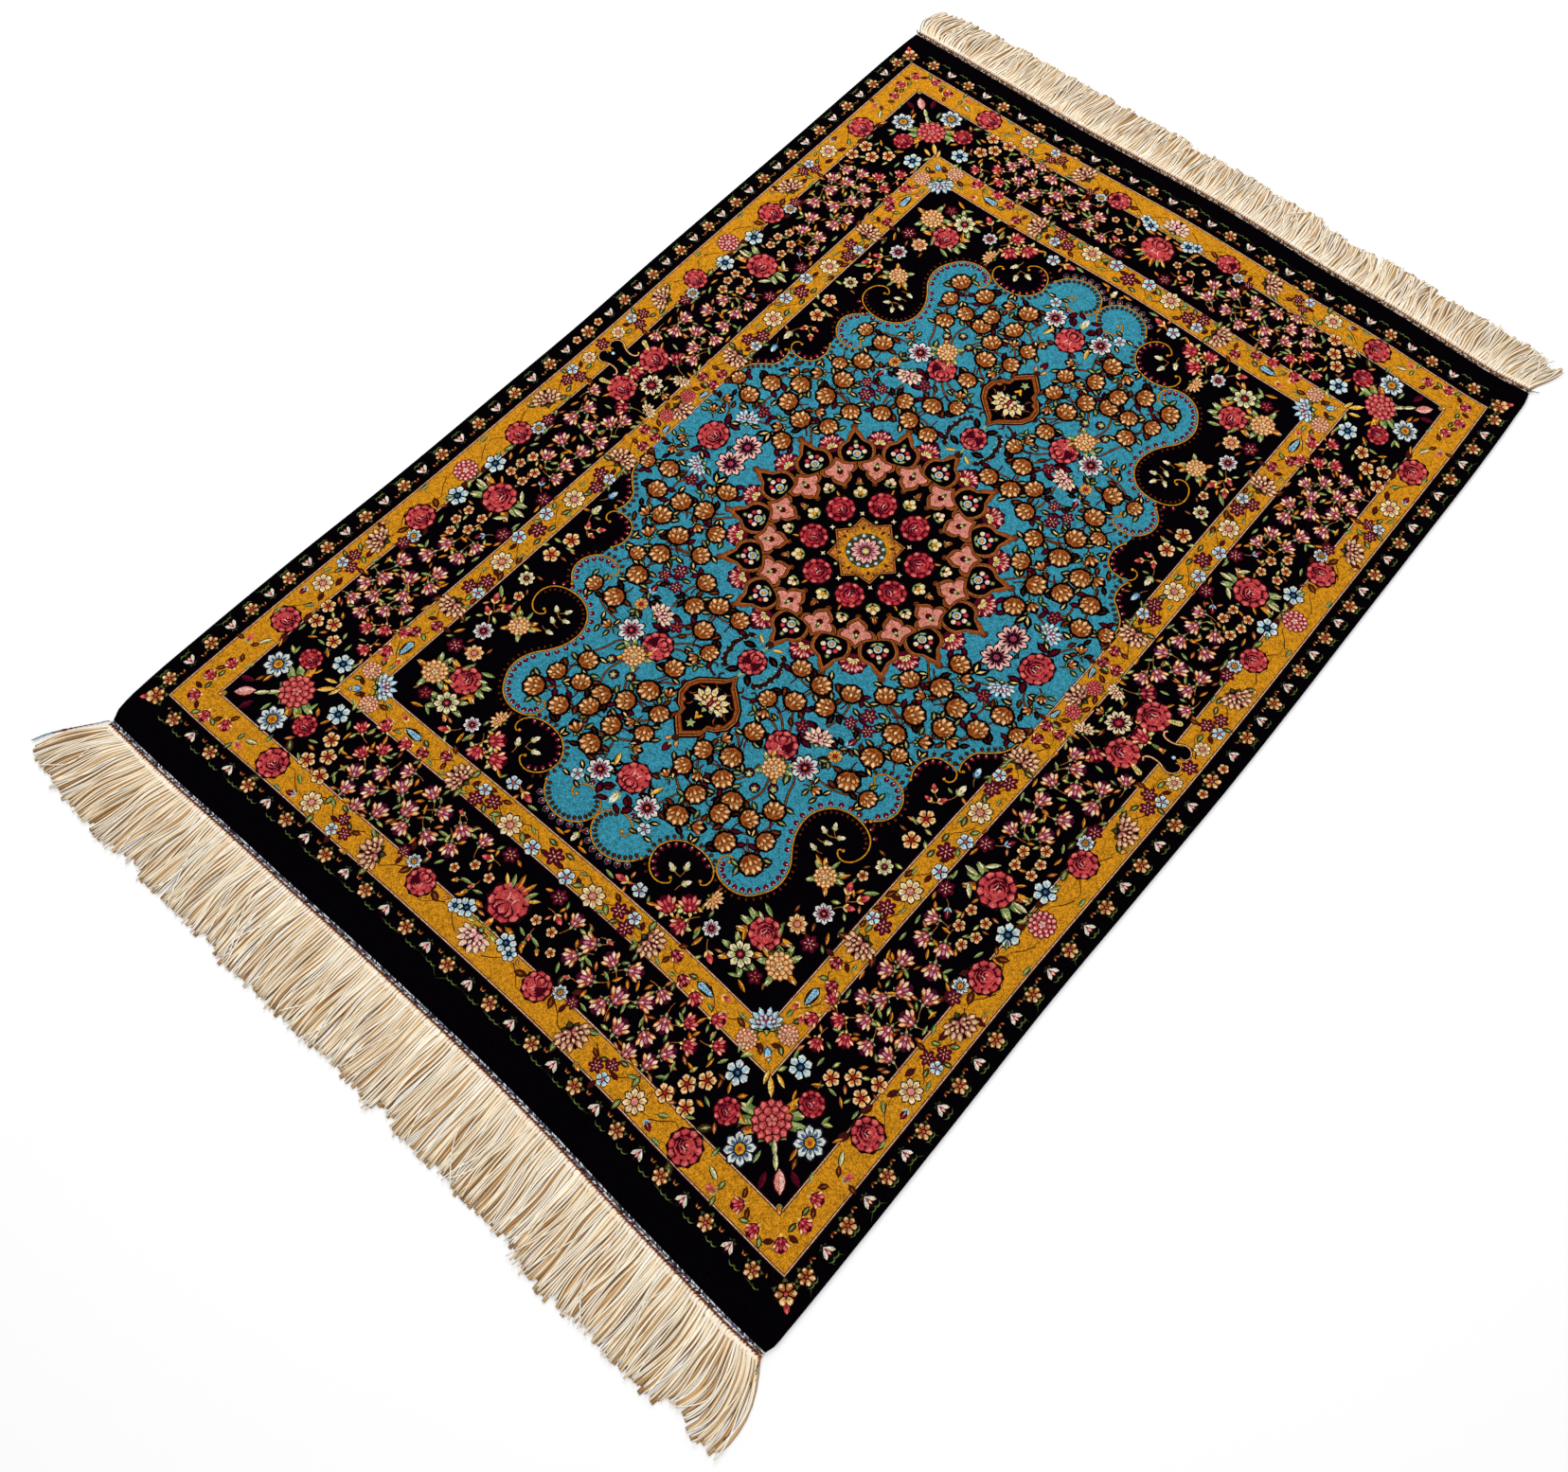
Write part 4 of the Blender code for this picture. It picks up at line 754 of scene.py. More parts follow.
def medallion():
    # rings round the middle: petals at one radius are one motif turned by equal steps
    def ringOf(motif, count, radius, size, turn=0.0, outward=True):
        # one motif at even angles of a ring, as far as it reaches into the quarter
        out = []
        for a in turn + np.arange(count) * 360.0 / count:
            if -25 < (a + 180) % 360 - 180 < 115:
                x, y = radius * np.cos(np.radians(a)), radius * np.sin(np.radians(a))
                out += place(motif, x, y, size, a if outward else a + 180)
        return out

    def bothSides(rows):
        # a half outline and its mirror image
        half = np.array(rows, float)
        return np.concatenate([half, half[-2:0:-1] * (-1, 1)])

    ogee = bothSides([(0, -0.95), (0.14, -0.80), (0.34, -0.66), (0.48, -0.50), (0.50, -0.32),
                      (0.46, -0.18), (0.62, -0.22),
                      (0.82, -0.12), (0.97, 0.10), (0.95, 0.27), (0.70, 0.32), (0.46, 0.42), (0.24, 0.56),
                      (0.0, 0.84)])
    lobe = bothSides([(0, -0.90), (0.50, -0.85), (0.85, -0.60), (0.97, -0.20), (0.97, 0.05), (0.88, 0.35),
                      (0.72, 0.52),
                      (0.50, 0.57), (0.42, 0.66), (0.40, 0.82), (0.30, 1.04), (0.14, 1.26), (0.0, 1.50)])
    inside = bothSides([(0, -0.80), (0.45, -0.72), (0.72, -0.50), (0.80, -0.20), (0.80, 0.05), (0.70, 0.28),
                        (0.52, 0.42), (0.34, 0.54), (0.24, 0.70), (0.14, 0.88), (0.0, 1.10)])
    shapes = []
    # palmettes between the lobes, behind them
    fan = [("black", scalloped(9, 1.1, 0.16, 2)), ("maroon", scalloped(9, 0.98, 0.14, 2))]
    fan += fanned(shell("maroon", "ruby", "blush", 0.92, 0.28, 0.14), (-84, -50, -18, 18, 50, 84), (0, -0.1))
    fan += fanned(shell("wine", "rose", "blush", 0.76, 0.24, 0.14), (-34, 0, 34), (0, -0.1))
    fan += fanned(shell("wine", "straw", "cream", 0.46, 0.30, 0.0), (-76, -38, 0, 38, 76), (0, -0.25))
    knob = [("black", disc(1.2, 8)), ("brown", disc(0.98, 7)), ("umber", disc(0.5, 6))]
    shapes += ringOf(fan, 16, 0.1570, 0.0165, 11.25)
    shapes += ringOf(knob, 16, 0.1785, 0.0042)
    shapes += [("black", disc(0.1460, 64))]
    nested = [("black", lobe * 1.07), ("tan", lobe * 1.03), ("umber", lobe), ("rust", lobe * 0.97),
              ("tan", inside * 1.10), ("umber", inside * 1.05), ("black", inside)]
    shapes += ringOf(nested, 16, 0.1440, 0.0236)
    posy = spray("moss", petal(0.95, 0.40, 0.0, 1.2, 0.6, 2), (-64, 64), (0, -0.80))
    posy += spray("sage", petal(0.85, 0.26, 0.0, 1.2, 0.6, 2), (-64, 64), (0, -0.80))
    for x, y, ink, light in ((0.90, 0.22, "sand", "white"), (-0.90, 0.22, "sand", "white"),
                             (0.66, 0.74, "ruby", "rose"), (-0.66, 0.74, "ruby", "rose"),
                             (0, 1.06, "blush", "white"), (0, 1.62, "moss", "sage")):
        posy += [("line", disc(0.36, 8, x, y)), (ink, disc(0.30, 8, x, y))]
        posy += [(light, disc(0.19, 6, x * 0.98, y + 0.04))]
    posy += [("sky", disc(0.50, 9)), ("white", disc(0.42, 8, 0, 0.06)), ("slate", disc(0.34, 8)),
             ("amber", disc(0.24, 7))]
    shapes += ringOf(posy, 16, 0.1386, 0.0106)
    shapes += ringOf(knob, 16, 0.0945, 0.0036, 11.25)
    nested = [("black", ogee * 1.24), ("tan", ogee * 1.16), ("umber", ogee * 1.11), ("rust", ogee * 1.07),
              ("umber", ogee * 0.95), ("salmon", ogee * 0.87)]
    shapes += ringOf(nested, 16, 0.1175, 0.0216, 11.25)
    little = [("tan", petal(0.95, 0.66, -1.05, 1.0, 0.6, 2)),
              ("salmon", petal(0.60, 0.36, -0.86, 1.0, 0.6, 1))]
    little += spray("sage", petal(0.9, 0.40, -0.1, 1.2, 0.6, 2), (-34, 34), (0, 0.12))
    little += [("moss", petal(0.9, 0.5, 0.2, 1.0, 0.6, 2)), ("wine", scalloped(4, 0.50, 0.14, 2)),
               ("straw", petal(0.5, 0.34, 0.12, 1.1, 0.6, 1))]
    shapes += ringOf(little, 16, 0.1163, 0.0092, 11.25)
    # the black ring with roses
    shapes += ringOf(motifs["whiteBell"], 8, 0.1000, 0.0086, 22.5)
    shapes += ringOf(motifs["bellFlower"], 8, 0.0905, 0.0120, 0.0)
    shapes += ringOf(motifs["goldLeaf"], 8, 0.0870, 0.0050, 27.0)
    shapes += ringOf(motifs["darkRose"], 8, 0.0665, 0.0186, 22.5)
    # the gold heart: eight points with a pale cross on each, brown drops and pairs of curls inside
    a = np.radians(np.arange(64) * 360 / 64)
    r = 0.0350 + 0.0105 * (1 - np.abs(np.sin(4 * a))) ** 1.4 + 0.0020 * np.abs(np.sin(8 * a))
    star8 = np.stack([r * np.cos(a), r * np.sin(a)], 1)
    shapes += ringOf([("sage", disc(1.0, 6)), ("straw", disc(0.5, 5))], 8, 0.0415, 0.0022, 22.5)
    for turn in (0, 90):
        bar = spray("cream", petal(2.0, 0.62, -1.0, 1.0, 0.6, 2), (45 + turn,))
        shapes += ringOf(bar, 8, 0.0522, 0.0036)
    shapes += [("black", star8 * 1.08), ("tan", star8 * 1.04), ("umber", star8 * 1.00),
               ("gold", star8 * 0.96)]
    hookShape = crescent(1.0, 0.30, 0.20)
    lace = [("umber", hookShape * 1.1), ("umber", hookShape[::-1] * (-1.1, 1.1)),
            ("tan", hookShape), ("tan", hookShape[::-1] * (-1, 1))]
    shapes += ringOf(lace, 8, 0.0255, 0.0120, 22.5)
    shapes += ringOf(lace, 8, 0.0435, 0.0120, 0.0, False)
    shapes += ringOf(lace, 16, 0.0385, 0.0070, 11.25, False)
    drop = [("umber", petal(2.0, 1.1, -1.2, 1.0, 0.6, 2)), ("maroon", petal(1.6, 0.8, -1.0, 1.0, 0.6, 2))]
    shapes += ringOf(drop, 8, 0.0325, 0.0034)
    shapes += ringOf([("orange", disc(1.0, 6))], 8, 0.0385, 0.0020)
    shapes += ringOf([("maroon", disc(1.0, 5))], 16, 0.0355, 0.0017, 11.25)
    shapes += [("umber", disc(0.0246, 32)), ("moss", disc(0.0238, 32))]
    pearl = [("slate", disc(1.35, 7)), ("sky", disc(1.1, 7)), ("white", disc(0.8, 6))]
    shapes += ringOf(pearl, 12, 0.0214, 0.0021, 15.0)
    shapes += place(motifs["violet12"], 0, 0, 0.0196, 90)
    return shapes + [("sage", disc(0.0042, 9)), ("straw", disc(0.0026, 7))]


def pendant():
    # a pointed black shield with a brown rim and a golden lotus, on the long axis
    shield = np.array([(0, 0.2370), (0.006, 0.2470), (0.018, 0.2560), (0.0300, 0.2660), (0.0365, 0.2790),
                       (0.0350, 0.2920), (0.0260, 0.3030), (0.0190, 0.3060), (0.0180, 0.3160),
                       (0.0100, 0.3240),
                       (0.0, 0.3330)])
    centre = (0, 0.283)
    whole = np.concatenate([shield, (shield[-2:0:-1]) * (-1, 1)])
    shapes = [("black", disc(0.0048, 8, 0.0405, 0.2800)), ("maroon", disc(0.0036, 7, 0.0405, 0.2800)),
              ("blush", disc(0.0012, 4, 0.0395, 0.2790))]
    for curl in ([(20, 250), (30, 247), (35, 240), (30, 236), (26, 240)], [(14, 250), (18, 244), (14, 240)]):
        shapes += vine(np.array(curl) / 1000, 0.0026, "umber", "black", 0.0006)
    for grow, ink in ((1.14, "black"), (1.07, "tan"), (1.03, "umber"),
                      (0.99, "rust"), (0.90, "umber"), (0.87, "black")):
        shapes.append((ink, (whole - centre) * grow + centre))
    # scrolls that run in from the rim
    rimCurl = [("umber", crescent(2.4, 0.7, 0.44)), ("rust", crescent(2.2, 0.62, 0.26))]
    for x, y, turn in ((0.0265, 0.2690, 200), (0.0300, 0.2850, 215),
                       (0.0225, 0.2985, 240), (0.0120, 0.2560, 165)):
        shapes += place(rimCurl, x, y, 0.0046, turn)
    shapes += place(lotus("straw", "umber", "black", "sage", "ruby", "cream"), 0, 0.2760, 0.0170, 270)
    shapes += place([("maroon", petal(1.7, 0.9, -0.9, 1.0, 0.6, 3)),
                     ("rose", petal(0.9, 0.3, -0.4, 1.0, 0.6, 1))],
                    0, 0.2805, 0.0075, 270)
    shapes += place([("amber", np.array([(0, -1), (1, 0.5), (0.5, 0.6), (0, 0), (-0.5, 0.6), (-1, 0.5)]))],
                    0, 0.3010, 0.0056, 270)
    shapes += place([("sage", scalloped(5, 1.0, 0.5, 2))], 0, 0.3135, 0.0062, 90)
    shapes += place([("brown", petal(1.6, 0.9, -0.8, 1.0, 0.7, 2)),
                     ("tan", petal(1.0, 0.4, -0.4, 1.0, 0.7, 1))],
                    0.0275, 0.2955, 0.0060, 150)
    shapes += place([("sky", petal(1.2, 0.6, -0.6, 1.0, 0.7, 1))], 0.0165, 0.2870, 0.0040, 200)
    shapes += place([("rose", petal(1.2, 0.6, -0.6, 1.0, 0.7, 1))], 0.0195, 0.2850, 0.0034, 150)
    # what hangs above and below it
    shapes += place(motifs["leaf"], 0, 0.2265, 0.0080, 90)
    shapes += place([("black", disc(1.15, 8)), ("umber", disc(1.0, 7))], 0, 0.3385, 0.0042, 90)
    shapes += place([("black", petal(2.2, 1.3, -1.1, 1.2, 0.6, 3)),
                     ("peach", petal(1.8, 0.9, -0.9, 1.2, 0.6, 2))],
                    0.0060, 0.3440, 0.0048, 60)
    shapes += place([("black", petal(2.2, 1.4, -1.1, 0.8, 0.6, 3)),
                     ("maroon", petal(1.8, 1.1, -0.9, 0.8, 0.6, 3)),
                     ("sage", petal(0.8, 0.5, -1.2, 1.0, 0.7, 1))], 0, 0.3540, 0.0072, 90)
    return shapes


def wreath():
    # small dark leaves and pale dots in two arcs round the flower above the pendant
    shapes = []
    darkLeaf = [("black", petal(2.9, 1.5, -1.0, 1.0, 0.6, 2)), ("umber", petal(2.3, 0.8, -0.8, 1.0, 0.6, 1))]
    for k, angle in enumerate(np.radians(np.linspace(-60, 60, 17))):
        x, y = 0.0320 * np.cos(angle) ** 0.6, 0.2085 - 0.003 + 0.030 * np.sin(angle)
        way = np.degrees(angle) + (38 if k % 2 else -38)
        shapes += place(darkLeaf, x, y, 0.0034, way + (0 if k % 3 else 90))
        if k % 2:
            shapes += place([("blush", disc(1.0, 4))], x + 0.0036, y + 0.001, 0.0010)
            shapes += place([("sage", disc(1.0, 4))], x - 0.0034, y - 0.002, 0.0012)
    shapes += place(motifs["yellowLeaf"], 0.0125, 0.1775, 0.0070, 330)
    shapes += place([("black", disc(1.1, 8)), ("umber", disc(0.95, 8))], 0, 0.1775, 0.0050)
    return shapes + place(motifs["leaf"], 0, 0.1855, 0.0055, 90)


def sideHooks():
    # at the side's middle the black runs out over the gold between two curled stalks
    black = np.array([(426, 0), (426, 17), (433, 15), (440, 19), (447, 18), (452, 12), (450, 6), (445, 3),
                      (441, 0)])
    curl = np.array([(413.5, 24), (411, 20), (414.5, 16), (422, 14.5), (431, 16), (438, 20),
                     (445.5, 19.5), (451, 14), (451.5, 8), (448, 3.5), (443, 4.5)])
    shapes = place(motifs["star"], 0.4585, 0.0, 0.0098, 0) + [("black", black / 1000)]
    shapes += vine(curl / 1000, 0.0026, "tan", "black", 0.0008) + vine(curl / 1000, 0.0012, "sand")
    return shapes + place([("sky", disc(1.0, 7)), ("white", disc(0.6, 6))], 0.4375, 0.0, 0.0024)


def guardRow(along, at, steps, pitch, start, toPlace, outward):
    # flower, heart, flower along one side, with crescents between them outside and small buds inside
    shapes = []
    moss = [("moss", crescent(1.0, 0.40, 0.16)), ("green", crescent(0.88, 0.37, 0.09))]
    small = [("brown", petal(1.5, 0.8, -0.7, 1.0, 0.7, 1)), ("peach", petal(0.7, 0.4, 0.0, 1.0, 0.7, 1))]
    for k in range(steps):
        for half, motif, size in ((0.0, "guard", 0.0100), (0.5, "heart", 0.0092)):
            s = start + (k + half) * pitch
            if s > along + 0.012:
                continue
            x, y = toPlace(s, at)
            shapes += place(motifs[motif], x, y, size, outward)
            for way in (-1, 1):
                if s + way * pitch * 0.2 > along + 0.006:
                    continue
                x, y = toPlace(s + way * pitch * 0.125, at + 0.0072)
                shapes += place(moss, x, y, 0.0098, outward - way * 88, way > 0)
                x, y = toPlace(s + way * pitch * 0.22, at - 0.0062)
                shapes += place(small, x, y, 0.0034, outward - way * 30)
    return shapes


def guardBorder():
    # the narrow border of round flowers and hearts: two runs that meet in the corner
    sideAt, endAt = drawing["guardAt"]
    stepEnd, stepSide = drawing["guardStep"]
    shapes = guardRow(0.450, endAt, 8, stepEnd, 0.0, lambda s, d: (s, d), 90)
    shapes += guardRow(0.668, sideAt, 12, stepSide, drawing["guardStart"], lambda s, d: (d, s), 0)
    # the side's middle: a flower on the axis with a small one each side
    shapes += place(motifs["guard"], sideAt, 0.0, 0.0112, 0)
    shapes += place(motifs["tan5"], sideAt + 0.001, 0.0200, 0.0066, 0)
    shapes += place(motifs["heart"], sideAt, 0.0405, 0.0088, 0)
    # the corner flower
    shapes += place(motifs["guard"], 0.4820, 0.6860, 0.0125, 45)
    shapes += place(motifs["redBud"], 0.4905, 0.6945, 0.0070, 45)
    return shapes


def stems():
    # every stem of the field, thinner towards its flower
    shapes = []
    for points in outlines["stems"]:
        line = np.array(points, float) / 1000
        shapes += vine(line, 0.0013, "rust", "black", 0.0010, 0.006, 0.6)
    return shapes


def vinesOn(rows, reach, width, ink, edge=None, bend=0.35):
    # every bud's own stalk: from its cup back along its axis, bending to one side
    shapes = []
    for k, (motif, x, y, size, turn) in enumerate(rows):
        if "ulip" not in motif and "Bud" not in motif and motif != "bud":
            continue
        a = np.radians(turn + 180)
        start = np.array([x, y]) / 1000 + 0.8 * size / 1000 * np.array([np.cos(a), np.sin(a)])
        side = bend * (1 if k % 2 else -1)
        step = reach * size / 1000
        mid = start + step * 0.5 * np.array([np.cos(a + side * 0.5), np.sin(a + side * 0.5)])
        end = start + step * np.array([np.cos(a + side), np.sin(a + side)])
        shapes += vine(np.stack([start, mid, end]), width, ink, edge, 0.0006, 0.006, 0.6)
    return shapes


def layOut(rows):
    # every motif of a table at its place
    shapes = []
    for motif, x, y, size, turn in rows:
        shapes += place(motifs[motif], x / 1000, y / 1000, size / 1000, turn)
    return shapes


def hookVine(points, width, ink):
    # a tendril through points in millimetres
    return vine(np.array(points, float) / 1000, width, ink)


def goldScrolls():
    # fine dark tendrils on the gold bands
    shapes = []
    for y, x0, x1, count in ((534, 14, 285, 9), (654, 20, 300, 9)):
        step = (x1 - x0) / count
        for k in range(count):
            x = x0 + k * step
            up = 8 if k % 2 else -8
            shapes += hookVine([(x, y - up), (x + step * 0.35, y - up * 0.2), (x + step * 0.75, y + up),
                                (x + step * 1.02, y + up * 0.7)], 0.0014, "umber")
    for x, y0, y1, count in ((316, 12, 490, 15), (449, 12, 520, 16)):
        step = (y1 - y0) / count
        for k in range(count):
            y = y0 + k * step
            out = 8 if k % 2 else -8
            shapes += hookVine([(x - out, y), (x - out * 0.2, y + step * 0.35), (x + out, y + step * 0.75),
                                (x + out * 0.7, y + step * 1.02)], 0.0014, "umber")
    return shapes


def sprigs(rows, inksOf, grow=1.0, rim=None, places=(-1, 1)):
    # small leaves beside each flower, in turn of several colours:
    # place -1 and 1 at its foot, -2 and 2 at its head
    shapes = []
    for k, (motif, x, y, size, turn) in enumerate(rows):
        if size < 7.0 or "eaf" in motif or "eather" in motif:
            continue
        for way in places:
            dark, light = inksOf[(k + 2 * way) % len(inksOf)]
            side = 1 if way > 0 else -1
            a = np.radians(turn + (180 if abs(way) == 1 else 20) + side * (48 + 23 * (k % 3)))
            reach = (size * 1.28 + 1.7 * grow) / 1000
            at = (x / 1000 + reach * np.cos(a), y / 1000 + reach * np.sin(a))
            long = (3.4 + 0.20 * size) / 1000 * grow
            leafShape = [] if rim is None else [(rim, petal(2.5, 1.30, -1.25, 1.0, 0.7, 2))]
            leafShape += [(dark, petal(1.9, 0.80, -0.95, 1.0, 0.7, 2)),
                          (light, petal(1.5, 0.40, -0.6, 0.9, 0.7, 1))]
            shapes += place(leafShape, *at, long, np.degrees(a) + side * 38 + 20 * (k % 2))
    return shapes


def twiceArea(polygon):
    # twice the signed area, by the sum of cross products round the outline
    x, y = polygon[:, 0], polygon[:, 1]
    return np.sum(x * np.roll(y, -1) - y * np.roll(x, -1))


def drawQuarter():
    # every shape that reaches into the quarter, all anticlockwise; the first ones keep their points
    ground = grounds()
    shapes = ground + scrolls()
    shapes += stems() + vinesOn(layout["fieldFlowers"], 1.35, 0.0012, "maroon", "black")
    among = [("moss", "sage"), ("umber", "brown"), ("line", "straw"), ("wine", "maroon"),
             ("umber", "sage"), ("black", "umber")]
    shapes += sprigs(layout["fieldFlowers"], among, 1.12, "black", (-2, -1, 1, 2))
    shapes += medallion() + wreath() + pendant() + layOut(layout["fieldFlowers"])
    bright = [("moss", "sage"), ("rust", "amber"), ("brown", "peach"), ("green", "straw"), ("umber", "tan")]
    shapes += sprigs(layout["spandrelFlowers"], bright) + sprigs(layout["mainBorder"], bright)
    shapes += vinesOn(layout["spandrelFlowers"], 1.6, 0.0009, "tan") + layOut(layout["spandrelFlowers"])
    shapes += vinesOn(layout["mainBorder"], 1.6, 0.0009, "tan")
    onGold = [("moss", "sage"), ("umber", "maroon"), ("green", "sage"), ("umber", "rust")]
    shapes += goldScrolls() + sprigs(layout["innerGold"], onGold, 1.0, "umber")
    shapes += sprigs(layout["outerGold"], onGold, 1.0, "umber")
    shapes += layOut(layout["innerGold"]) + layOut(layout["mainBorder"]) + layOut(layout["outerGold"])
    shapes += sideHooks() + guardBorder()
    kept = [(ink, p) for ink, p in shapes if p[:, 0].max() > 1e-5 and p[:, 1].max() > 1e-5]
    area = [twiceArea(p) for ink, p in kept]
    return [(ink, p if a > 0 else p[::-1]) for (ink, p), a in zip(kept, area)], len(ground)


# knotting: from overlapping shapes to one sheet of triangles, each with one ink
def edgesOf(triangles):
    # every triangle's three edges, found again as unique pairs: pairs, and for each half edge its pair
    half = np.concatenate([triangles[:, [0, 1]], triangles[:, [1, 2]], triangles[:, [2, 0]]])
    pairs, which = np.unique(np.sort(half, axis=1), axis=0, return_inverse=True)
    return half, pairs, which.ravel()


def insideOf(polygon, at):
    # is each place inside the closed polygon: does a line to its right cross an odd number of edges
    a, b = polygon, np.roll(polygon, -1, axis=0)
    over = (a[:, 1] > at[:, 1, None]) != (b[:, 1] > at[:, 1, None])
    rise = np.where(np.abs(b[:, 1] - a[:, 1]) < 1e-12, 1e-12, b[:, 1] - a[:, 1])
    cross = a[:, 0] + (at[:, 1, None] - a[:, 1]) * (b[:, 0] - a[:, 0]) / rise
    return (over & (at[:, 0, None] < cross)).sum(axis=1) % 2 == 1


def overlay(shapes, protect):
    # all shapes cut into triangles together; a triangle takes the ink of the last shape drawn over it
    counts = np.array([len(points) for ink, points in shapes])
    starts = np.concatenate([[0], np.cumsum(counts)[:-1]])
    loops = [list(range(a, a + n)) for a, n in zip(starts.tolist(), counts.tolist())]
    flat = np.concatenate([points for ink, points in shapes]) * 1000
    spots, _, faces, fromSpots, _, fromFaces = delaunay_2d_cdt(
        [tuple(p) for p in flat.tolist()], [], loops, 1, 0.01, True)
    guarded = int(counts[:protect].sum())
    held = np.array([any(i < guarded for i in who) for who in fromSpots])
    spots, faces = np.array(spots), np.array(faces)
    # which shapes lie over which triangle, as pairs;
    # a shape that took far more than its own area is tested again
    lies = np.array([k for who in fromFaces for k in who])
    on = np.repeat(np.arange(len(faces)), [len(who) for who in fromFaces])
    u, v = spots[faces[:, 1]] - spots[faces[:, 0]], spots[faces[:, 2]] - spots[faces[:, 0]]
    took = np.bincount(lies, (u[:, 0] * v[:, 1] - u[:, 1] * v[:, 0])[on], len(shapes))
    own = np.array([twiceArea(p) for ink, p in shapes]) * 1e6
    for k in np.flatnonzero(took > 1.5 * own + 4):
        mine = np.flatnonzero(lies == k)
        outside = mine[~insideOf(shapes[k][1] * 1000, spots[faces[on[mine]]].mean(axis=1))]
        lies[outside] = -1
    inside = np.zeros(len(faces), bool)
    inside[on[lies == 0]] = True
    top = np.zeros(len(faces), int)
    np.maximum.at(top, on, lies)
    shapeInk = np.array([inkNames.index(ink) for ink, points in shapes])
    return spots, faces[inside], shapeInk[top[inside]], held


def borders(spots, triangles, ink, held):
    # the edges where two inks meet, with the ink to the left and right of each;
    # straight runs become one edge
    half, pairs, which = edgesOf(triangles)
    inkOf = np.tile(ink, 3)
    left, right = np.full(len(pairs), -1), np.full(len(pairs), -1)
    forward = half[:, 0] < half[:, 1]
    left[which[forward]] = inkOf[forward]
    right[which[~forward]] = inkOf[~forward]
    seen = left != right
    pairs, left, right = pairs[seen], left[seen], right[seen]
    for _ in range(8):
        ends = pairs.ravel()
        order = np.argsort(ends, kind="stable")
        spot, first, count = np.unique(ends[order], return_index=True, return_counts=True)
        two = (count == 2) & ~held[spot]
        spot, first = spot[two], first[two]
        one, other = order[first] // 2, order[first + 1] // 2
        a = pairs[one].sum(1) - spot
        b = pairs[other].sum(1) - spot
        u, v = spots[spot] - spots[a], spots[b] - spots[spot]
        long = np.linalg.norm(u, axis=1) * np.linalg.norm(v, axis=1)
        bendy = np.abs(u[:, 0] * v[:, 1] - u[:, 1] * v[:, 0])
        bendy = bendy / np.maximum(np.linalg.norm(u + v, axis=1), 1e-9)
        flat = (bendy < 0.075) & ((u * v).sum(1) > 0) & (a != b) & (long > 0)
        rank = np.full(len(spots), -1.0)
        rank[spot[flat]] = np.sin(spot[flat] * 12.9898) * 0.5 + 0.6
        pick = flat & (rank[spot] > rank[a]) & (rank[spot] > rank[b])
        if not pick.any():
            break
        one, other, a, b, spot = one[pick], other[pick], a[pick], b[pick], spot[pick]
        ahead = pairs[one][:, 0] == a          # does the first edge run a -> spot
        lefts = np.where(ahead, left[one], right[one])
        rights = np.where(ahead, right[one], left[one])
        alive = np.ones(len(pairs), bool)
        alive[one] = False
        alive[other] = False
        pairs = np.concatenate([pairs[alive], np.stack([a, b], 1)])
        left, right = np.concatenate([left[alive], lefts]), np.concatenate([right[alive], rights])
        turnOver = pairs[:, 0] > pairs[:, 1]
        pairs[turnOver] = pairs[turnOver][:, ::-1]
        left[turnOver], right[turnOver] = right[turnOver], left[turnOver].copy()
    return pairs, left, right


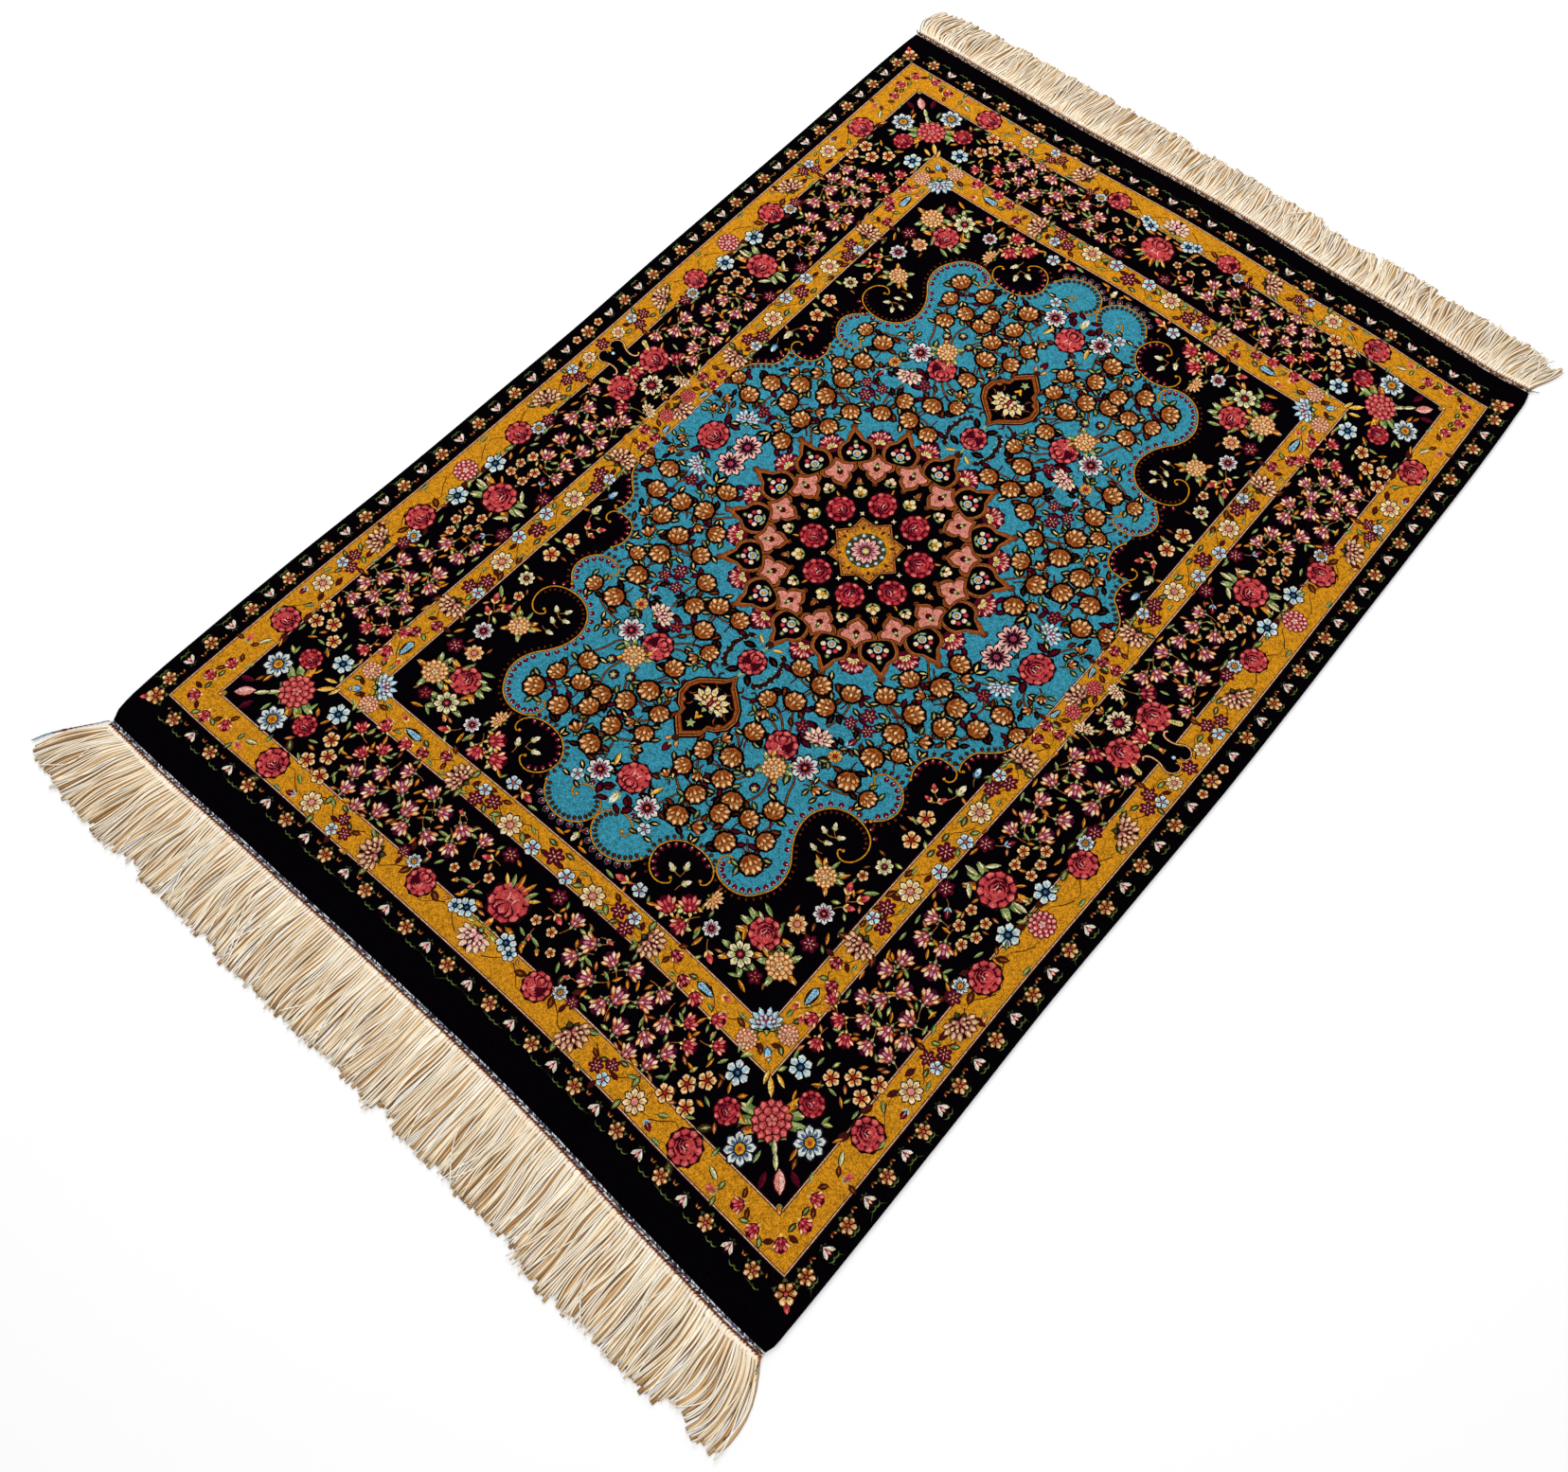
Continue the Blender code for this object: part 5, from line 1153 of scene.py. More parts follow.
def knotQuarter(shapes, protect):
    # overlaid, cut down to the edges between inks, and cut into triangles again with those edges fixed
    spots, triangles, ink, held = overlay(shapes, protect)
    pairs, left, right = borders(spots, triangles, ink, held)
    used, again = np.unique(pairs.ravel(), return_inverse=True)
    pairs = again.reshape(-1, 2)
    spots, edges, faces, fromSpots, fromEdges, _ = delaunay_2d_cdt(
        [tuple(p) for p in spots[used].tolist()], pairs.tolist(), [], 0, 1e-4, True)
    spots, edges, triangles = np.array(spots), np.array(edges), np.array(faces)
    # each fixed edge tells its two triangles their ink
    source = np.array([who[0] if who else -1 for who in fromEdges])
    fixed = source >= 0
    spotOf = np.full(len(used), -1)
    pairsOf = [(i, k) for k, who in enumerate(fromSpots) for i in who]
    spotOf[[i for i, k in pairsOf]] = [k for i, k in pairsOf]
    way = spots[edges[fixed][:, 1]] - spots[edges[fixed][:, 0]]
    old = spots[spotOf[pairs[source[fixed]][:, 1]]] - spots[spotOf[pairs[source[fixed]][:, 0]]]
    same = (way * old).sum(1) > 0
    lefts = np.where(same, left[source[fixed]], right[source[fixed]])
    rights = np.where(same, right[source[fixed]], left[source[fixed]])
    half, unique, which = edgesOf(triangles)
    size = len(spots)
    code = unique[:, 0] * size + unique[:, 1]
    known = np.sort(edges[fixed], axis=1)
    at = np.searchsorted(code, known[:, 0] * size + known[:, 1])
    upLeft, upRight = np.full(len(unique), -1), np.full(len(unique), -1)
    isFixed = np.zeros(len(unique), bool)
    forward = edges[fixed][:, 0] < edges[fixed][:, 1]
    upLeft[at] = np.where(forward, lefts, rights)
    upRight[at] = np.where(forward, rights, lefts)
    isFixed[at] = True
    owner = np.tile(np.arange(len(triangles)), 3)
    rising = half[:, 0] < half[:, 1]
    ink = np.full(len(triangles), -1)
    told = np.where(rising, upLeft[which], upRight[which])
    use = isFixed[which] & (told >= 0)
    ink[owner[use]] = told[use]
    # the rest take it from a neighbour across a free edge
    order = np.argsort(which, kind="stable")
    w = which[order]
    pair = np.flatnonzero((w[1:] == w[:-1]) & ~isFixed[w[1:]])
    a, b = owner[order[pair]], owner[order[pair + 1]]
    for _ in range(400):
        fromA, fromB = (ink[a] >= 0) & (ink[b] < 0), (ink[b] >= 0) & (ink[a] < 0)
        if not (fromA.any() or fromB.any()):
            break
        ink[b[fromA]] = ink[a[fromA]]
        ink[a[fromB]] = ink[b[fromB]]
    return spots / 1000, triangles, np.maximum(ink, 0)


def fourQuarters(spots, triangles, ink):
    # the quarter turned over both axes; the plain black at the far end is shorter
    parts, faces, inksOf = [], [], []
    for signX, signY in ((1, -1), (-1, -1), (1, 1), (-1, 1)):
        x, y = np.abs(spots[:, 0]) * signX, np.abs(spots[:, 1])
        if signY > 0:
            start = rug["shortFrom"]
            y = np.where(y > start, start + (y - start) * (rug["far"] - start) / (rug["near"] - start), y)
        turn = triangles if signX * signY > 0 else triangles[:, ::-1]
        faces.append(turn + len(spots) * len(parts))
        parts.append(np.stack([x, y * signY], 1))
        inksOf.append(ink)
    every, faces, ink = np.concatenate(parts), np.concatenate(faces), np.concatenate(inksOf)
    key = np.round(every * 1e6).astype(np.int64)
    unique, first, again = np.unique(key, axis=0, return_index=True, return_inverse=True)
    faces = again.ravel()[faces]
    every = every[first]
    u, v = every[faces[:, 1]] - every[faces[:, 0]], every[faces[:, 2]] - every[faces[:, 0]]
    whole = u[:, 0] * v[:, 1] - u[:, 1] * v[:, 0] > 1e-12
    return every, faces[whole], ink[whole]


def newPiece(name, points, faces, material, smooth=True):
    # a mesh from rows of points and faces, all faces with the same number of corners
    mesh = bpy.data.meshes.new(name)
    sides = faces.shape[1]
    mesh.vertices.add(len(points))
    mesh.vertices.foreach_set("co", np.ascontiguousarray(points, np.float32).ravel())
    mesh.loops.add(faces.size)
    mesh.loops.foreach_set("vertex_index", np.ascontiguousarray(faces, np.int32).ravel())
    mesh.polygons.add(len(faces))
    mesh.polygons.foreach_set("loop_start", np.arange(0, faces.size, sides, dtype=np.int32))
    mesh.polygons.foreach_set("use_smooth", np.full(len(faces), smooth))
    mesh.update(calc_edges=True)
    mesh.materials.append(material)
    piece = bpy.data.objects.new(name, mesh)
    bpy.context.scene.collection.objects.link(piece)
    return piece


def paintFaces(piece, colours):
    # each face's own yarn colour
    layer = piece.data.attributes.new("yarn", "FLOAT_COLOR", "FACE")
    layer.data.foreach_set("color", np.ascontiguousarray(colours, np.float32).ravel())


def linear(colours):
    # sRGB from 0 to 255 to linear light, with alpha 1
    c = np.asarray(colours, float) / 255
    c = np.where(c <= 0.04045, c / 12.92, ((c + 0.055) / 1.055) ** 2.4)
    return np.concatenate([c, np.ones(c.shape[:-1] + (1,))], axis=-1)


pile = {
    "rounding": 0.0025,              # how near the edge it starts to drop, and how far it drops there
    "drop": 0.0012,
    "field": (0.2995, 0.5175),       # half sizes at which the field and the border are cut into pieces
    "border": (0.4305, 0.6385),
    "medallion": 0.188,
}


def pileHeight(nominal):
    # flat, and rounded off near the edge by the square of the way in from it
    away = np.minimum(rug["width"] / 2 - np.abs(nominal[:, 0]),
                      np.where(nominal[:, 1] < 0, rug["near"] + nominal[:, 1], rug["far"] - nominal[:, 1]))
    drop = np.clip(1 - away / pile["rounding"], 0, 1)
    return rug["thick"] - pile["drop"] * drop ** 2


def makePile(material):
    # the knotted quarter, turned over, laid on the cloth and cut along the edges of the pattern
    spots, triangles, ink = knotQuarter(*drawQuarter())
    spots, triangles, ink = fourQuarters(spots, triangles, ink)
    points = np.column_stack([toCloth(spots[:, 0], spots[:, 1]), pileHeight(spots)])
    middle = np.abs(spots[triangles].mean(axis=1))
    inField = (middle[:, 0] < pile["field"][0]) & (middle[:, 1] < pile["field"][1])
    inBorder = (middle[:, 0] < pile["border"][0]) & (middle[:, 1] < pile["border"][1]) & ~inField
    inMiddle = np.hypot(middle[:, 0], middle[:, 1]) < pile["medallion"]
    table = linear(list(inks.values()))
    pieces = []
    nearHalf = spots[triangles].mean(axis=1)[:, 1] < 0
    for name, chosen in (("medallionPile", inMiddle), ("edgePile", ~inField & ~inBorder),
                         ("fieldNear", inField & ~inMiddle & nearHalf),
                         ("fieldFar", inField & ~inMiddle & ~nearHalf),
                         ("borderNear", inBorder & nearHalf), ("borderFar", inBorder & ~nearHalf)):
        used, again = np.unique(triangles[chosen], return_inverse=True)
        piece = newPiece(name, points[used], again.reshape(-1, 3), material, False)
        paintFaces(piece, table[ink[chosen]])
        piece.data.validate()
        pieces.append(piece)
        print("knotted", name, "with", int(chosen.sum()), "triangles", flush=True)
    return pieces


def gridFaces(rows, columns, wrap=False):
    # four-cornered faces of a grid of points, joined up round each row when it wraps
    r, c = np.arange(rows - 1)[:, None], np.arange(columns - (0 if wrap else 1))[None, :]
    a, b = r * columns + c, r * columns + (c + 1) % columns
    return np.stack([a, b, b + columns, a + columns], axis=-1).reshape(-1, 4)


def edgeLoop(count=(120, 170)):
    # once round the cloth anticlockwise from its near left corner, in drawing coordinates
    x = np.linspace(-rug["width"] / 2, rug["width"] / 2, count[0] + 1)
    y = np.linspace(-rug["near"], rug["far"], count[1] + 1)
    return rectangle(x, y)


foundation = {
    "inset": 0.0026,
    "edge": [(-0.0026, 0.0000), (-0.0009, 0.0001), (0.0000, 0.0007), (0.0002, 0.0015), (0.0000, 0.0022),
             (-0.0009, 0.0027), (-0.0026, 0.0028)],   # outward step and height against the edge line
}


def makeCloth(material):
    # a flat core, and round its edge a rounded section
    section = np.array(foundation["edge"])
    loop = edgeLoop()
    inset = loop * (1 - foundation["inset"] / np.abs(loop).max(0))
    outer = toCloth(loop[:, 0], loop[:, 1])
    inner = toCloth(inset[:, 0], inset[:, 1])
    share = section[:, 0] / -section[0, 0] + 1
    rings = inner[None] + (outer - inner)[None] * share[:, None, None]
    heights = np.broadcast_to(section[:, 1][:, None, None], rings.shape[:2] + (1,))
    points = np.concatenate([rings, heights], axis=2)
    n = len(loop)
    faces = gridFaces(len(section), n, wrap=True)
    a = np.arange(n)
    centre = np.array([toCloth(0.0, 0.0)]).ravel()
    caps = np.array([[centre[0], centre[1], 0.0], [centre[0], centre[1], section[-1, 1]]])
    every = np.concatenate([points.reshape(-1, 3), caps])
    low, high = len(every) - 2, len(every) - 1
    under = np.stack([(a + 1) % n, a, a * 0 + low, a * 0 + low], 1)
    last = (len(section) - 1) * n
    over = np.stack([a + last, (a + 1) % n + last, a * 0 + high, a * 0 + high], 1)
    tris = np.concatenate([faces[:, [0, 1, 2]], faces[:, [0, 2, 3]], under[:, :3], over[:, :3]])
    return newPiece("carpetCloth", every, tris, material)


# the twined bands at both ends
band = {
    "rows": [0.0014, 0.0040],      # how far out of the pile each row of twining lies
    "pitch": 0.0022,
    "stitch": (0.0036, 0.0017, 0.0013),   # long, wide, high
    "slant": 33.0,
    "cordAt": 0.0066,
    "cordPly": 0.00085,
    "cordTwist": 0.0042,
    "bedWide": 0.0070,
    "bedHigh": 0.0013,
}


def endEdge(end, shares):
    # the pile's edge at one end, and the way out
    y = -rug["near"] if end == "near" else rug["far"]
    return toCloth(rug["width"] * (shares - 0.5), np.full_like(shares, y)), (-1.0 if end == "near" else 1.0)


def blob(across, around):
    # a closed lozenge: rows from tip to tip, its half width sin(pi t)**0.7
    t = np.linspace(0, 1, across)[1:-1]
    a = np.arange(around) * 2 * np.pi / around
    fat = np.sin(np.pi * t) ** 0.7
    ring = np.stack([np.broadcast_to((t * 2 - 1)[:, None], (len(t), around)), fat[:, None] * np.cos(a),
                     fat[:, None] * np.sin(a)], -1).reshape(-1, 3)
    points = np.concatenate([ring, [[-1, 0, 0], [1, 0, 0]]])
    q = gridFaces(len(t), around, wrap=True)
    k = np.arange(around)
    low, high = len(points) - 2, len(points) - 1
    last = (len(t) - 1) * around
    ends = np.concatenate([np.stack([(k + 1) % around, k, k * 0 + low], 1),
                           np.stack([k + last, (k + 1) % around + last, k * 0 + high], 1)])
    tris = np.concatenate([q[:, [0, 1, 2]], q[:, [0, 2, 3]], ends])
    return points, tris


def repeated(points, faces, frames, places):
    # one shape at many places: frames is (n, 3, 3) with the three axes as rows
    every = np.einsum("pk,nkj->npj", points, frames) + places[:, None]
    steps = np.arange(len(places))[:, None, None] * len(points)
    return every.reshape(-1, 3), (faces[None] + steps).reshape(-1, 3)


def tube(lines, radii, sides, flat=1.0, phase=0.0):
    # round tubes along many lines at once: lines (n, m, 3), radii (n, m); the ends close to a point
    n, m = lines.shape[:2]
    ahead = np.gradient(lines, axis=1)
    ahead /= np.maximum(np.linalg.norm(ahead, axis=2, keepdims=True), 1e-9)
    side = np.stack([-ahead[..., 1], ahead[..., 0], ahead[..., 0] * 0], -1)
    side /= np.maximum(np.linalg.norm(side, axis=2, keepdims=True), 1e-9)
    up = np.cross(ahead, side)
    a = np.arange(sides) * 2 * np.pi / sides + phase
    ring = (side[:, :, None] * np.cos(a)[:, None] + up[:, :, None] * np.sin(a)[:, None] * flat)
    points = lines[:, :, None] + ring * radii[:, :, None, None]
    q = gridFaces(m, sides, wrap=True)
    k = np.arange(sides)
    last = (m - 1) * sides
    caps = np.concatenate([np.stack([(k + 1) % sides, k, k * 0 + m * sides], 1),
                           np.stack([k + last, (k + 1) % sides + last, k * 0 + m * sides + 1], 1)])
    tris = np.concatenate([q[:, [0, 1, 2]], q[:, [0, 2, 3]], caps])
    every = np.concatenate([points.reshape(n, -1, 3), lines[:, :1], lines[:, -1:]], axis=1)
    steps = np.arange(n)[:, None, None] * every.shape[1]
    return every.reshape(-1, 3), (tris[None] + steps).reshape(-1, 3), len(tris)


def joined(parts):
    # several (points, faces, colours of faces) as one
    points, faces, colours, start = [], [], [], 0
    for p, f, c in parts:
        points.append(p)
        faces.append(f + start)
        colours.append(np.broadcast_to(c, (len(f), 4)))
        start += len(p)
    return np.concatenate(points), np.concatenate(faces), np.concatenate(colours)


tails = {  # at each corner: steps outward and away from the pile
    ("near", "left"): [(0.0060, 0.0010), (0.0130, 0.0100), (0.0240, 0.0240), (0.0380, 0.0430),
                       (0.0490, 0.0600),
                       (0.0550, 0.0740)],
    ("near", "right"): [(0.0030, 0.0030), (0.0060, 0.0100), (0.0090, 0.0170), (0.0130, 0.0240)],
    ("far", "left"): [(0.0040, 0.0010), (0.0075, 0.0030), (0.0105, 0.0055)],
    ("far", "right"): [(0.0040, 0.0010), (0.0080, 0.0040), (0.0130, 0.0070)],
}
tailInks = {  # the colours of each of its yarns, from the band to the tip
    ("near", "left"): [[(150, 148, 146), (84, 78, 84), (96, 40, 40), (70, 140, 165)],
                       [(206, 204, 198), (130, 120, 120), (120, 44, 40), (40, 110, 140)],
                       [(90, 84, 92), (176, 172, 168), (90, 70, 70), (120, 170, 185)]],
    ("near", "right"): [[(170, 84, 40), (60, 110, 130), (196, 176, 70)],
                        [(120, 56, 36), (180, 150, 60), (214, 200, 120)],
                        [(200, 120, 60), (50, 96, 120), (90, 140, 150)]],
    ("far", "left"): [[(110, 96, 110), (150, 140, 146)], [(70, 60, 74), (96, 86, 100)]],
    ("far", "right"): [[(150, 142, 136), (176, 168, 160)], [(100, 90, 86), (130, 120, 112)]],
}


def looseTail(end, side, rng):
    # a few yarns twisted round one smooth route, changing colour along it
    edge, out = endEdge(end, np.array([0.004 if side == "left" else 0.996]))
    way = -1.0 if side == "left" else 1.0
    steps = np.array([(-0.002, 0.0)] + tails[end, side])
    route = smoothLine(edge + [0, out * 0.0036] + steps * (way, out), 0.0012)
    m = len(route)
    t = np.linspace(0, 1, m)
    sway = np.cumsum(rng.normal(0, 0.00016, m))
    parts = []
    for k, inksAlong in enumerate(tailInks[end, side]):
        a = 2 * np.pi * (t * m * 0.0012 / 0.0060 + k / 3)
        wide = 0.00055 + 0.0009 * t ** 3
        line = np.column_stack([route[:, 0] + wide * np.cos(a) + sway * t * (k - 1),
                                route[:, 1] + wide * np.cos(a) * 0.4,
                                0.0032 - 0.0016 * t + 0.00045 * np.sin(a)])
        knot = 0.0006 * np.exp(-((t - 0.62) / 0.03) ** 2) if len(inksAlong) == 4 else 0 * t
        p, f, _ = tube(line[None], (0.00052 * (1 - 0.5 * t ** 4) + knot)[None], 5)
        where = np.minimum((f.min(axis=1) / (m * 5) * len(inksAlong)).astype(int), len(inksAlong) - 1)
        parts.append((p, f, linear(inksAlong)[where]))
    return parts


def makeBand(end, material, yarns, cordInks, rng):
    # a low bed, two rows of slanting stitches on it, a cord of two plies outside, and the loose tails
    count = int(1.0 / band["pitch"])
    shares = (np.arange(count) + 0.5) / count
    shape, faces = blob(5, 6)
    parts = []
    edge, out = endEdge(end, np.linspace(0, 1, 200))
    bedShape = np.array([(0.0002, 0.0), (0.0002, band["bedHigh"]),
                         (band["bedWide"] - 0.0006, band["bedHigh"] * 0.8),
                         (band["bedWide"], 0.0)])
    bed = np.concatenate([edge[None, :, :] + np.array([0, 1.0]) * out * bedShape[:, 0][:, None, None],
                          np.broadcast_to(bedShape[:, 1][:, None, None], (4, len(edge), 1))], axis=2)
    q = gridFaces(4, len(edge))
    q = q if out > 0 else q[:, ::-1]
    parts.append((bed.reshape(-1, 3), np.concatenate([q[:, [0, 1, 2]], q[:, [0, 2, 3]]]), linear(yarns[0])))
    for row, away in enumerate(band["rows"]):
        edge, out = endEdge(end, shares)
        turn = np.radians(band["slant"] * (1 if row else -1) * -out)
        along = np.array([np.cos(turn), np.sin(turn), 0.0])
        across = np.array([-np.sin(turn), np.cos(turn), 0.0])
        long, wide, high = band["stitch"]
        size = 1 + rng.normal(0, 0.07, (count, 1))
        frames = np.stack([along * long / 2 * size, across * wide / 2 * size,
                           np.array([0, 0, high / 2]) * size], axis=1)
        places = np.column_stack([edge[:, 0], edge[:, 1] + out * away, np.full(count, 0.0017)])
        places[:, :2] += rng.normal(0, 0.00010, (count, 2))
        p, f = repeated(shape, faces, frames, places)
        pick = rng.choice(len(yarns), count, p=[0.26, 0.34, 0.22, 0.10, 0.08])
        colours = np.repeat(linear([yarns[k] for k in pick]), len(faces), axis=0)
        parts.append((p, f, colours))
    # the thin cord outside them: two plies round one line
    edge, out = endEdge(end, np.linspace(0, 1, 900))
    run = np.concatenate([[0], np.cumsum(np.hypot(*np.diff(edge, axis=0).T))])
    for ply in (0, 1):
        a = 2 * np.pi * run / band["cordTwist"] + np.pi * ply
        line = np.column_stack([edge[:, 0],
                                edge[:, 1] + out * (band["cordAt"] + band["cordPly"] * 0.8 * np.cos(a)),
                                0.0013 + band["cordPly"] * 0.8 * np.sin(a)])
        p, f, _ = tube(line[None], np.full((1, len(line)), band["cordPly"]), 4)
        parts.append((p, f, linear(cordInks[ply])))
    for side in ("left", "right"):
        parts += looseTail(end, side, rng)
    points, faces, colours = joined(parts)
    points[:, 2] = np.maximum(points[:, 2], 0.0)
    piece = newPiece("band" + end.capitalize(), points, faces, material)
    paintFaces(piece, colours)
    print("twined", piece.name, "with", len(faces), "triangles", flush=True)
    return piece


# the fringes: twisted warp ends
fringe = {
    "pitch": 0.0038,               # from one string to the next at the root
    "span": 0.994,                 # share of the end that carries strings, after a bare margin
    "margin": 0.003,
    "rootAt": 0.0072,              # how far out of the pile the strings start
    "seeds": {"near": 31, "far": 47},
    "layers": [  # name of the tones, share of the count, radius at the root and tip, height at root and tip,
                 # stations, sides, how flat, how much of its own wander
        ("underTones", 1.25, 0.0029, 0.0022, 0.0009, 0.0007, 8, 4, 0.36, 0.8),
        ("tones", 1.00, 0.00155, 0.00088, 0.0018, 0.0016, 14, 6, 0.75, 1.5),
        ("tones", 0.90, 0.00085, 0.00078, 0.0008, 0.0024, 14, 5, 0.90, 2.8),
        ("looseTones", 0.20, 0.00072, 0.00066, 0.0026, 0.0031, 15, 5, 0.90, 11.0)],
    "ragged": 0.026,               # how unlike their lengths are
    "clump": (0.010, 0.034),       # how wide the clumps are that the tips gather in
    "gather": 0.12,
    "waves": [  # shared by neighbours: how far, how wide along the end, turns, phase
        (0.0030, 0.070, 1.1, 0.0), (0.0016, 0.031, 1.7, 2.0), (0.0010, 0.013, 2.4, 4.0)],
    "tones": [(255, 245, 222), (252, 238, 210), (255, 250, 236), (246, 228, 196)],
    # the lower layer is a darker tan than the strings over it: painted shade that shows in the gaps between
    # them
    "underTones": [(204, 164, 112), (178, 136, 86), (220, 182, 132)],
    "looseTones": [(255, 252, 242), (255, 248, 232)],
    "rootTone": (255, 240, 222),
    "near": [  # x, sideways half way, sideways at the tip, reach
        (-0.50, -0.0330, -0.0520, 0.0740), (-0.46, -0.0230, -0.0360, 0.0850),
        (-0.40, -0.0120, -0.0170, 0.0900),
        (-0.33, -0.0010, -0.0020, 0.0930), (-0.25, -0.0010, 0.0020, 0.0950),
        (-0.17, -0.0020, 0.0000, 0.0950),
        (-0.08, 0.0000, 0.0030, 0.0980), (0.00, -0.0010, -0.0040, 0.0960), (0.10, -0.0015, 0.0000, 0.0980),
        (0.18, 0.0020, 0.0050, 0.0960), (0.27, 0.0000, -0.0010, 0.0950), (0.36, 0.0010, 0.0010, 0.0930),
        (0.44, 0.0060, 0.0010, 0.0890), (0.462, 0.0080, -0.0010, 0.0800), (0.475, 0.0200, 0.0130, 0.0900),
        (0.50, 0.0260, 0.0240, 0.0920)],
    "far": [
        (-0.50, -0.0150, -0.0070, 0.0590), (-0.45, -0.0080, 0.0010, 0.0640), (-0.38, 0.0030, 0.0060, 0.0660),
        (-0.30, -0.0010, -0.0020, 0.0700), (-0.22, 0.0015, 0.0050, 0.0680), (-0.14, 0.0040, 0.0060, 0.0700),
        (-0.05, 0.0005, 0.0000, 0.0650), (0.04, 0.0000, -0.0020, 0.0620), (0.12, -0.0020, -0.0060, 0.0630),
        (0.20, 0.0010, -0.0030, 0.0600), (0.28, -0.0030, -0.0080, 0.0630), (0.36, -0.0040, -0.0060, 0.0630),
        (0.44, 0.0035, 0.0070, 0.0640), (0.50, 0.0110, 0.0170, 0.0500)],
}


def stringPaths(end, shares, low, high, stations, wander, rng):
    # every string's line: the table's lean, slow waves shared with its neighbours, its own small wave,
    # and its tip drawn towards the middle of its clump
    rows, n = fringe[end], len(shares)
    edge, out = endEdge(end, shares)
    x0, y0 = edge[:, 0], edge[:, 1] + out * fringe["rootAt"]
    mid, tip, reach = (readSmoothly(rows, c, x0) for c in (1, 2, 3))
    t = np.linspace(0, 1, stations)[None]
    clumps = np.random.default_rng(fringe["seeds"][end])
    cuts = np.cumsum(clumps.uniform(*fringe["clump"], 90)) - 0.56
    clump = np.searchsorted(cuts, x0)
    centre = (cuts[clump] + cuts[clump - 1]) / 2
    longer = clumps.normal(0, 0.0026, 91)[clump]
    lean = mid[:, None] * 4 * t * (1 - t) + tip[:, None] * t * (2 * t - 1)
    lean = lean + ((centre - x0) * fringe["gather"])[:, None] * t ** 1.6
    # the shared waves depend on the place alone, so every layer follows them
    for size, wide, turns, phase in fringe["waves"]:
        drift = np.sin(2 * np.pi * x0 / wide + phase + 2.0 * np.sin(x0 * 23 + phase))[:, None]
        start = 2.2 * np.sin(2 * np.pi * x0 / (wide * 2.3) + phase)[:, None]
        lean = lean + size * drift * np.sin(np.pi * turns * t + start) * np.minimum(t * 2.5, 1)
    lean = lean + rng.normal(0, 0.0011 * wander, (n, 1)) * t ** 1.5
    own = np.sin(np.pi * t * rng.uniform(0.8, 2.4, (n, 1)) + rng.uniform(0, 3, (n, 1)))
    lean = lean + 0.0005 * wander * rng.normal(0, 1, (n, 1)) * own * t
    length = (reach + longer)[:, None] * (1 + rng.normal(0, fringe["ragged"], (n, 1)))
    height = low + (high - low) * np.minimum(t * 2.6, 1)
    height = height + 0.0003 * np.sin(9 * t + rng.uniform(0, 6.28, (n, 1))) * t
    return np.stack([x0[:, None] + lean, y0[:, None] + out * length * t,
                     np.broadcast_to(height, lean.shape)], axis=-1)


def stringTubes(lines, wide, thin, flat, tones, rng, sides):
    # each string thins from its root to the middle, then stays the same, with a blunt tip
    n, m = lines.shape[:2]
    t = np.linspace(0, 1, m)
    radii = (thin + (wide - thin) * (1 - np.minimum(t / 0.6, 1)) ** 1.3) * (1 + rng.normal(0, 0.07, (n, 1)))
    points, faces, facesEach = tube(lines, radii, sides, flat)
    colours = np.repeat(linear(tones)[rng.integers(0, len(tones), n)], facesEach, axis=0)
    colours[:, :3] *= np.repeat(rng.normal(1, 0.05, n), facesEach)[:, None]
    # once round and along the string, for its twist
    q = gridFaces(m, sides, wrap=True)
    a, b = np.divmod(q[:, 0], sides)
    corners = np.stack([[b, a], [b + 1, a], [b + 1, a + 1], [b, a + 1]]).transpose(2, 0, 1).astype(float)
    corners *= (1 / sides, 0.085 / (m - 1))
    ends = np.zeros((facesEach - 2 * len(q), 3, 2))
    twist = np.concatenate([corners[:, [0, 1, 2]], corners[:, [0, 2, 3]], ends])
    return points, faces, colours, np.tile(twist, (n, 1, 1))


def makeFringe(end, material, rng):
    # every layer of strings, then the rounded roots
    margin, span = fringe["margin"], fringe["span"]
    count = int(span / fringe["pitch"])
    parts = []
    for tones, share, wide, thin, low, high, stations, sides, flat, wander in fringe["layers"]:
        n = int(count * share)
        shares = margin + span * (np.arange(n) + 0.5) / n + rng.normal(0, 0.12 / count, n)
        lines = stringPaths(end, shares, low, high, stations, wander, rng)
        parts.append(stringTubes(lines, wide, thin, flat, fringe[tones], rng, sides))
    # the rounded roots, one to each string, laid over the cord
    edge, out = endEdge(end, margin + span * (np.arange(count) + 0.5) / count)
    root, rootFaces = blob(5, 6)
    frames = np.stack([[0, out * 0.0040, 0.0], [0.0019, 0, 0], [0, 0, 0.0011]]) * np.ones((len(edge), 1, 1))
    frames = frames * (1 + rng.normal(0, 0.06, (len(edge), 1, 1)))
    places = np.column_stack([edge[:, 0], edge[:, 1] + out * 0.0108, np.full(len(edge), 0.0018)])
    p, f = repeated(root, rootFaces, frames, places)
    parts.append((p, f, np.repeat(linear([fringe["rootTone"]]), len(f), axis=0), np.zeros((len(f), 3, 2))))
    points, faces, colours = joined([part[:3] for part in parts])
    points[:, 2] = np.maximum(points[:, 2], 0.00005)
    piece = newPiece("fringe" + end.capitalize(), points, faces, material)
    paintFaces(piece, colours)
    twist = piece.data.uv_layers.new(name="twist")
    turns = np.concatenate([part[3] for part in parts])
    twist.uv.foreach_set("vector", np.ascontiguousarray(turns, np.float32).ravel())
    print("knotted", piece.name, "with", len(faces), "triangles,", count, "strings", flush=True)
    return piece


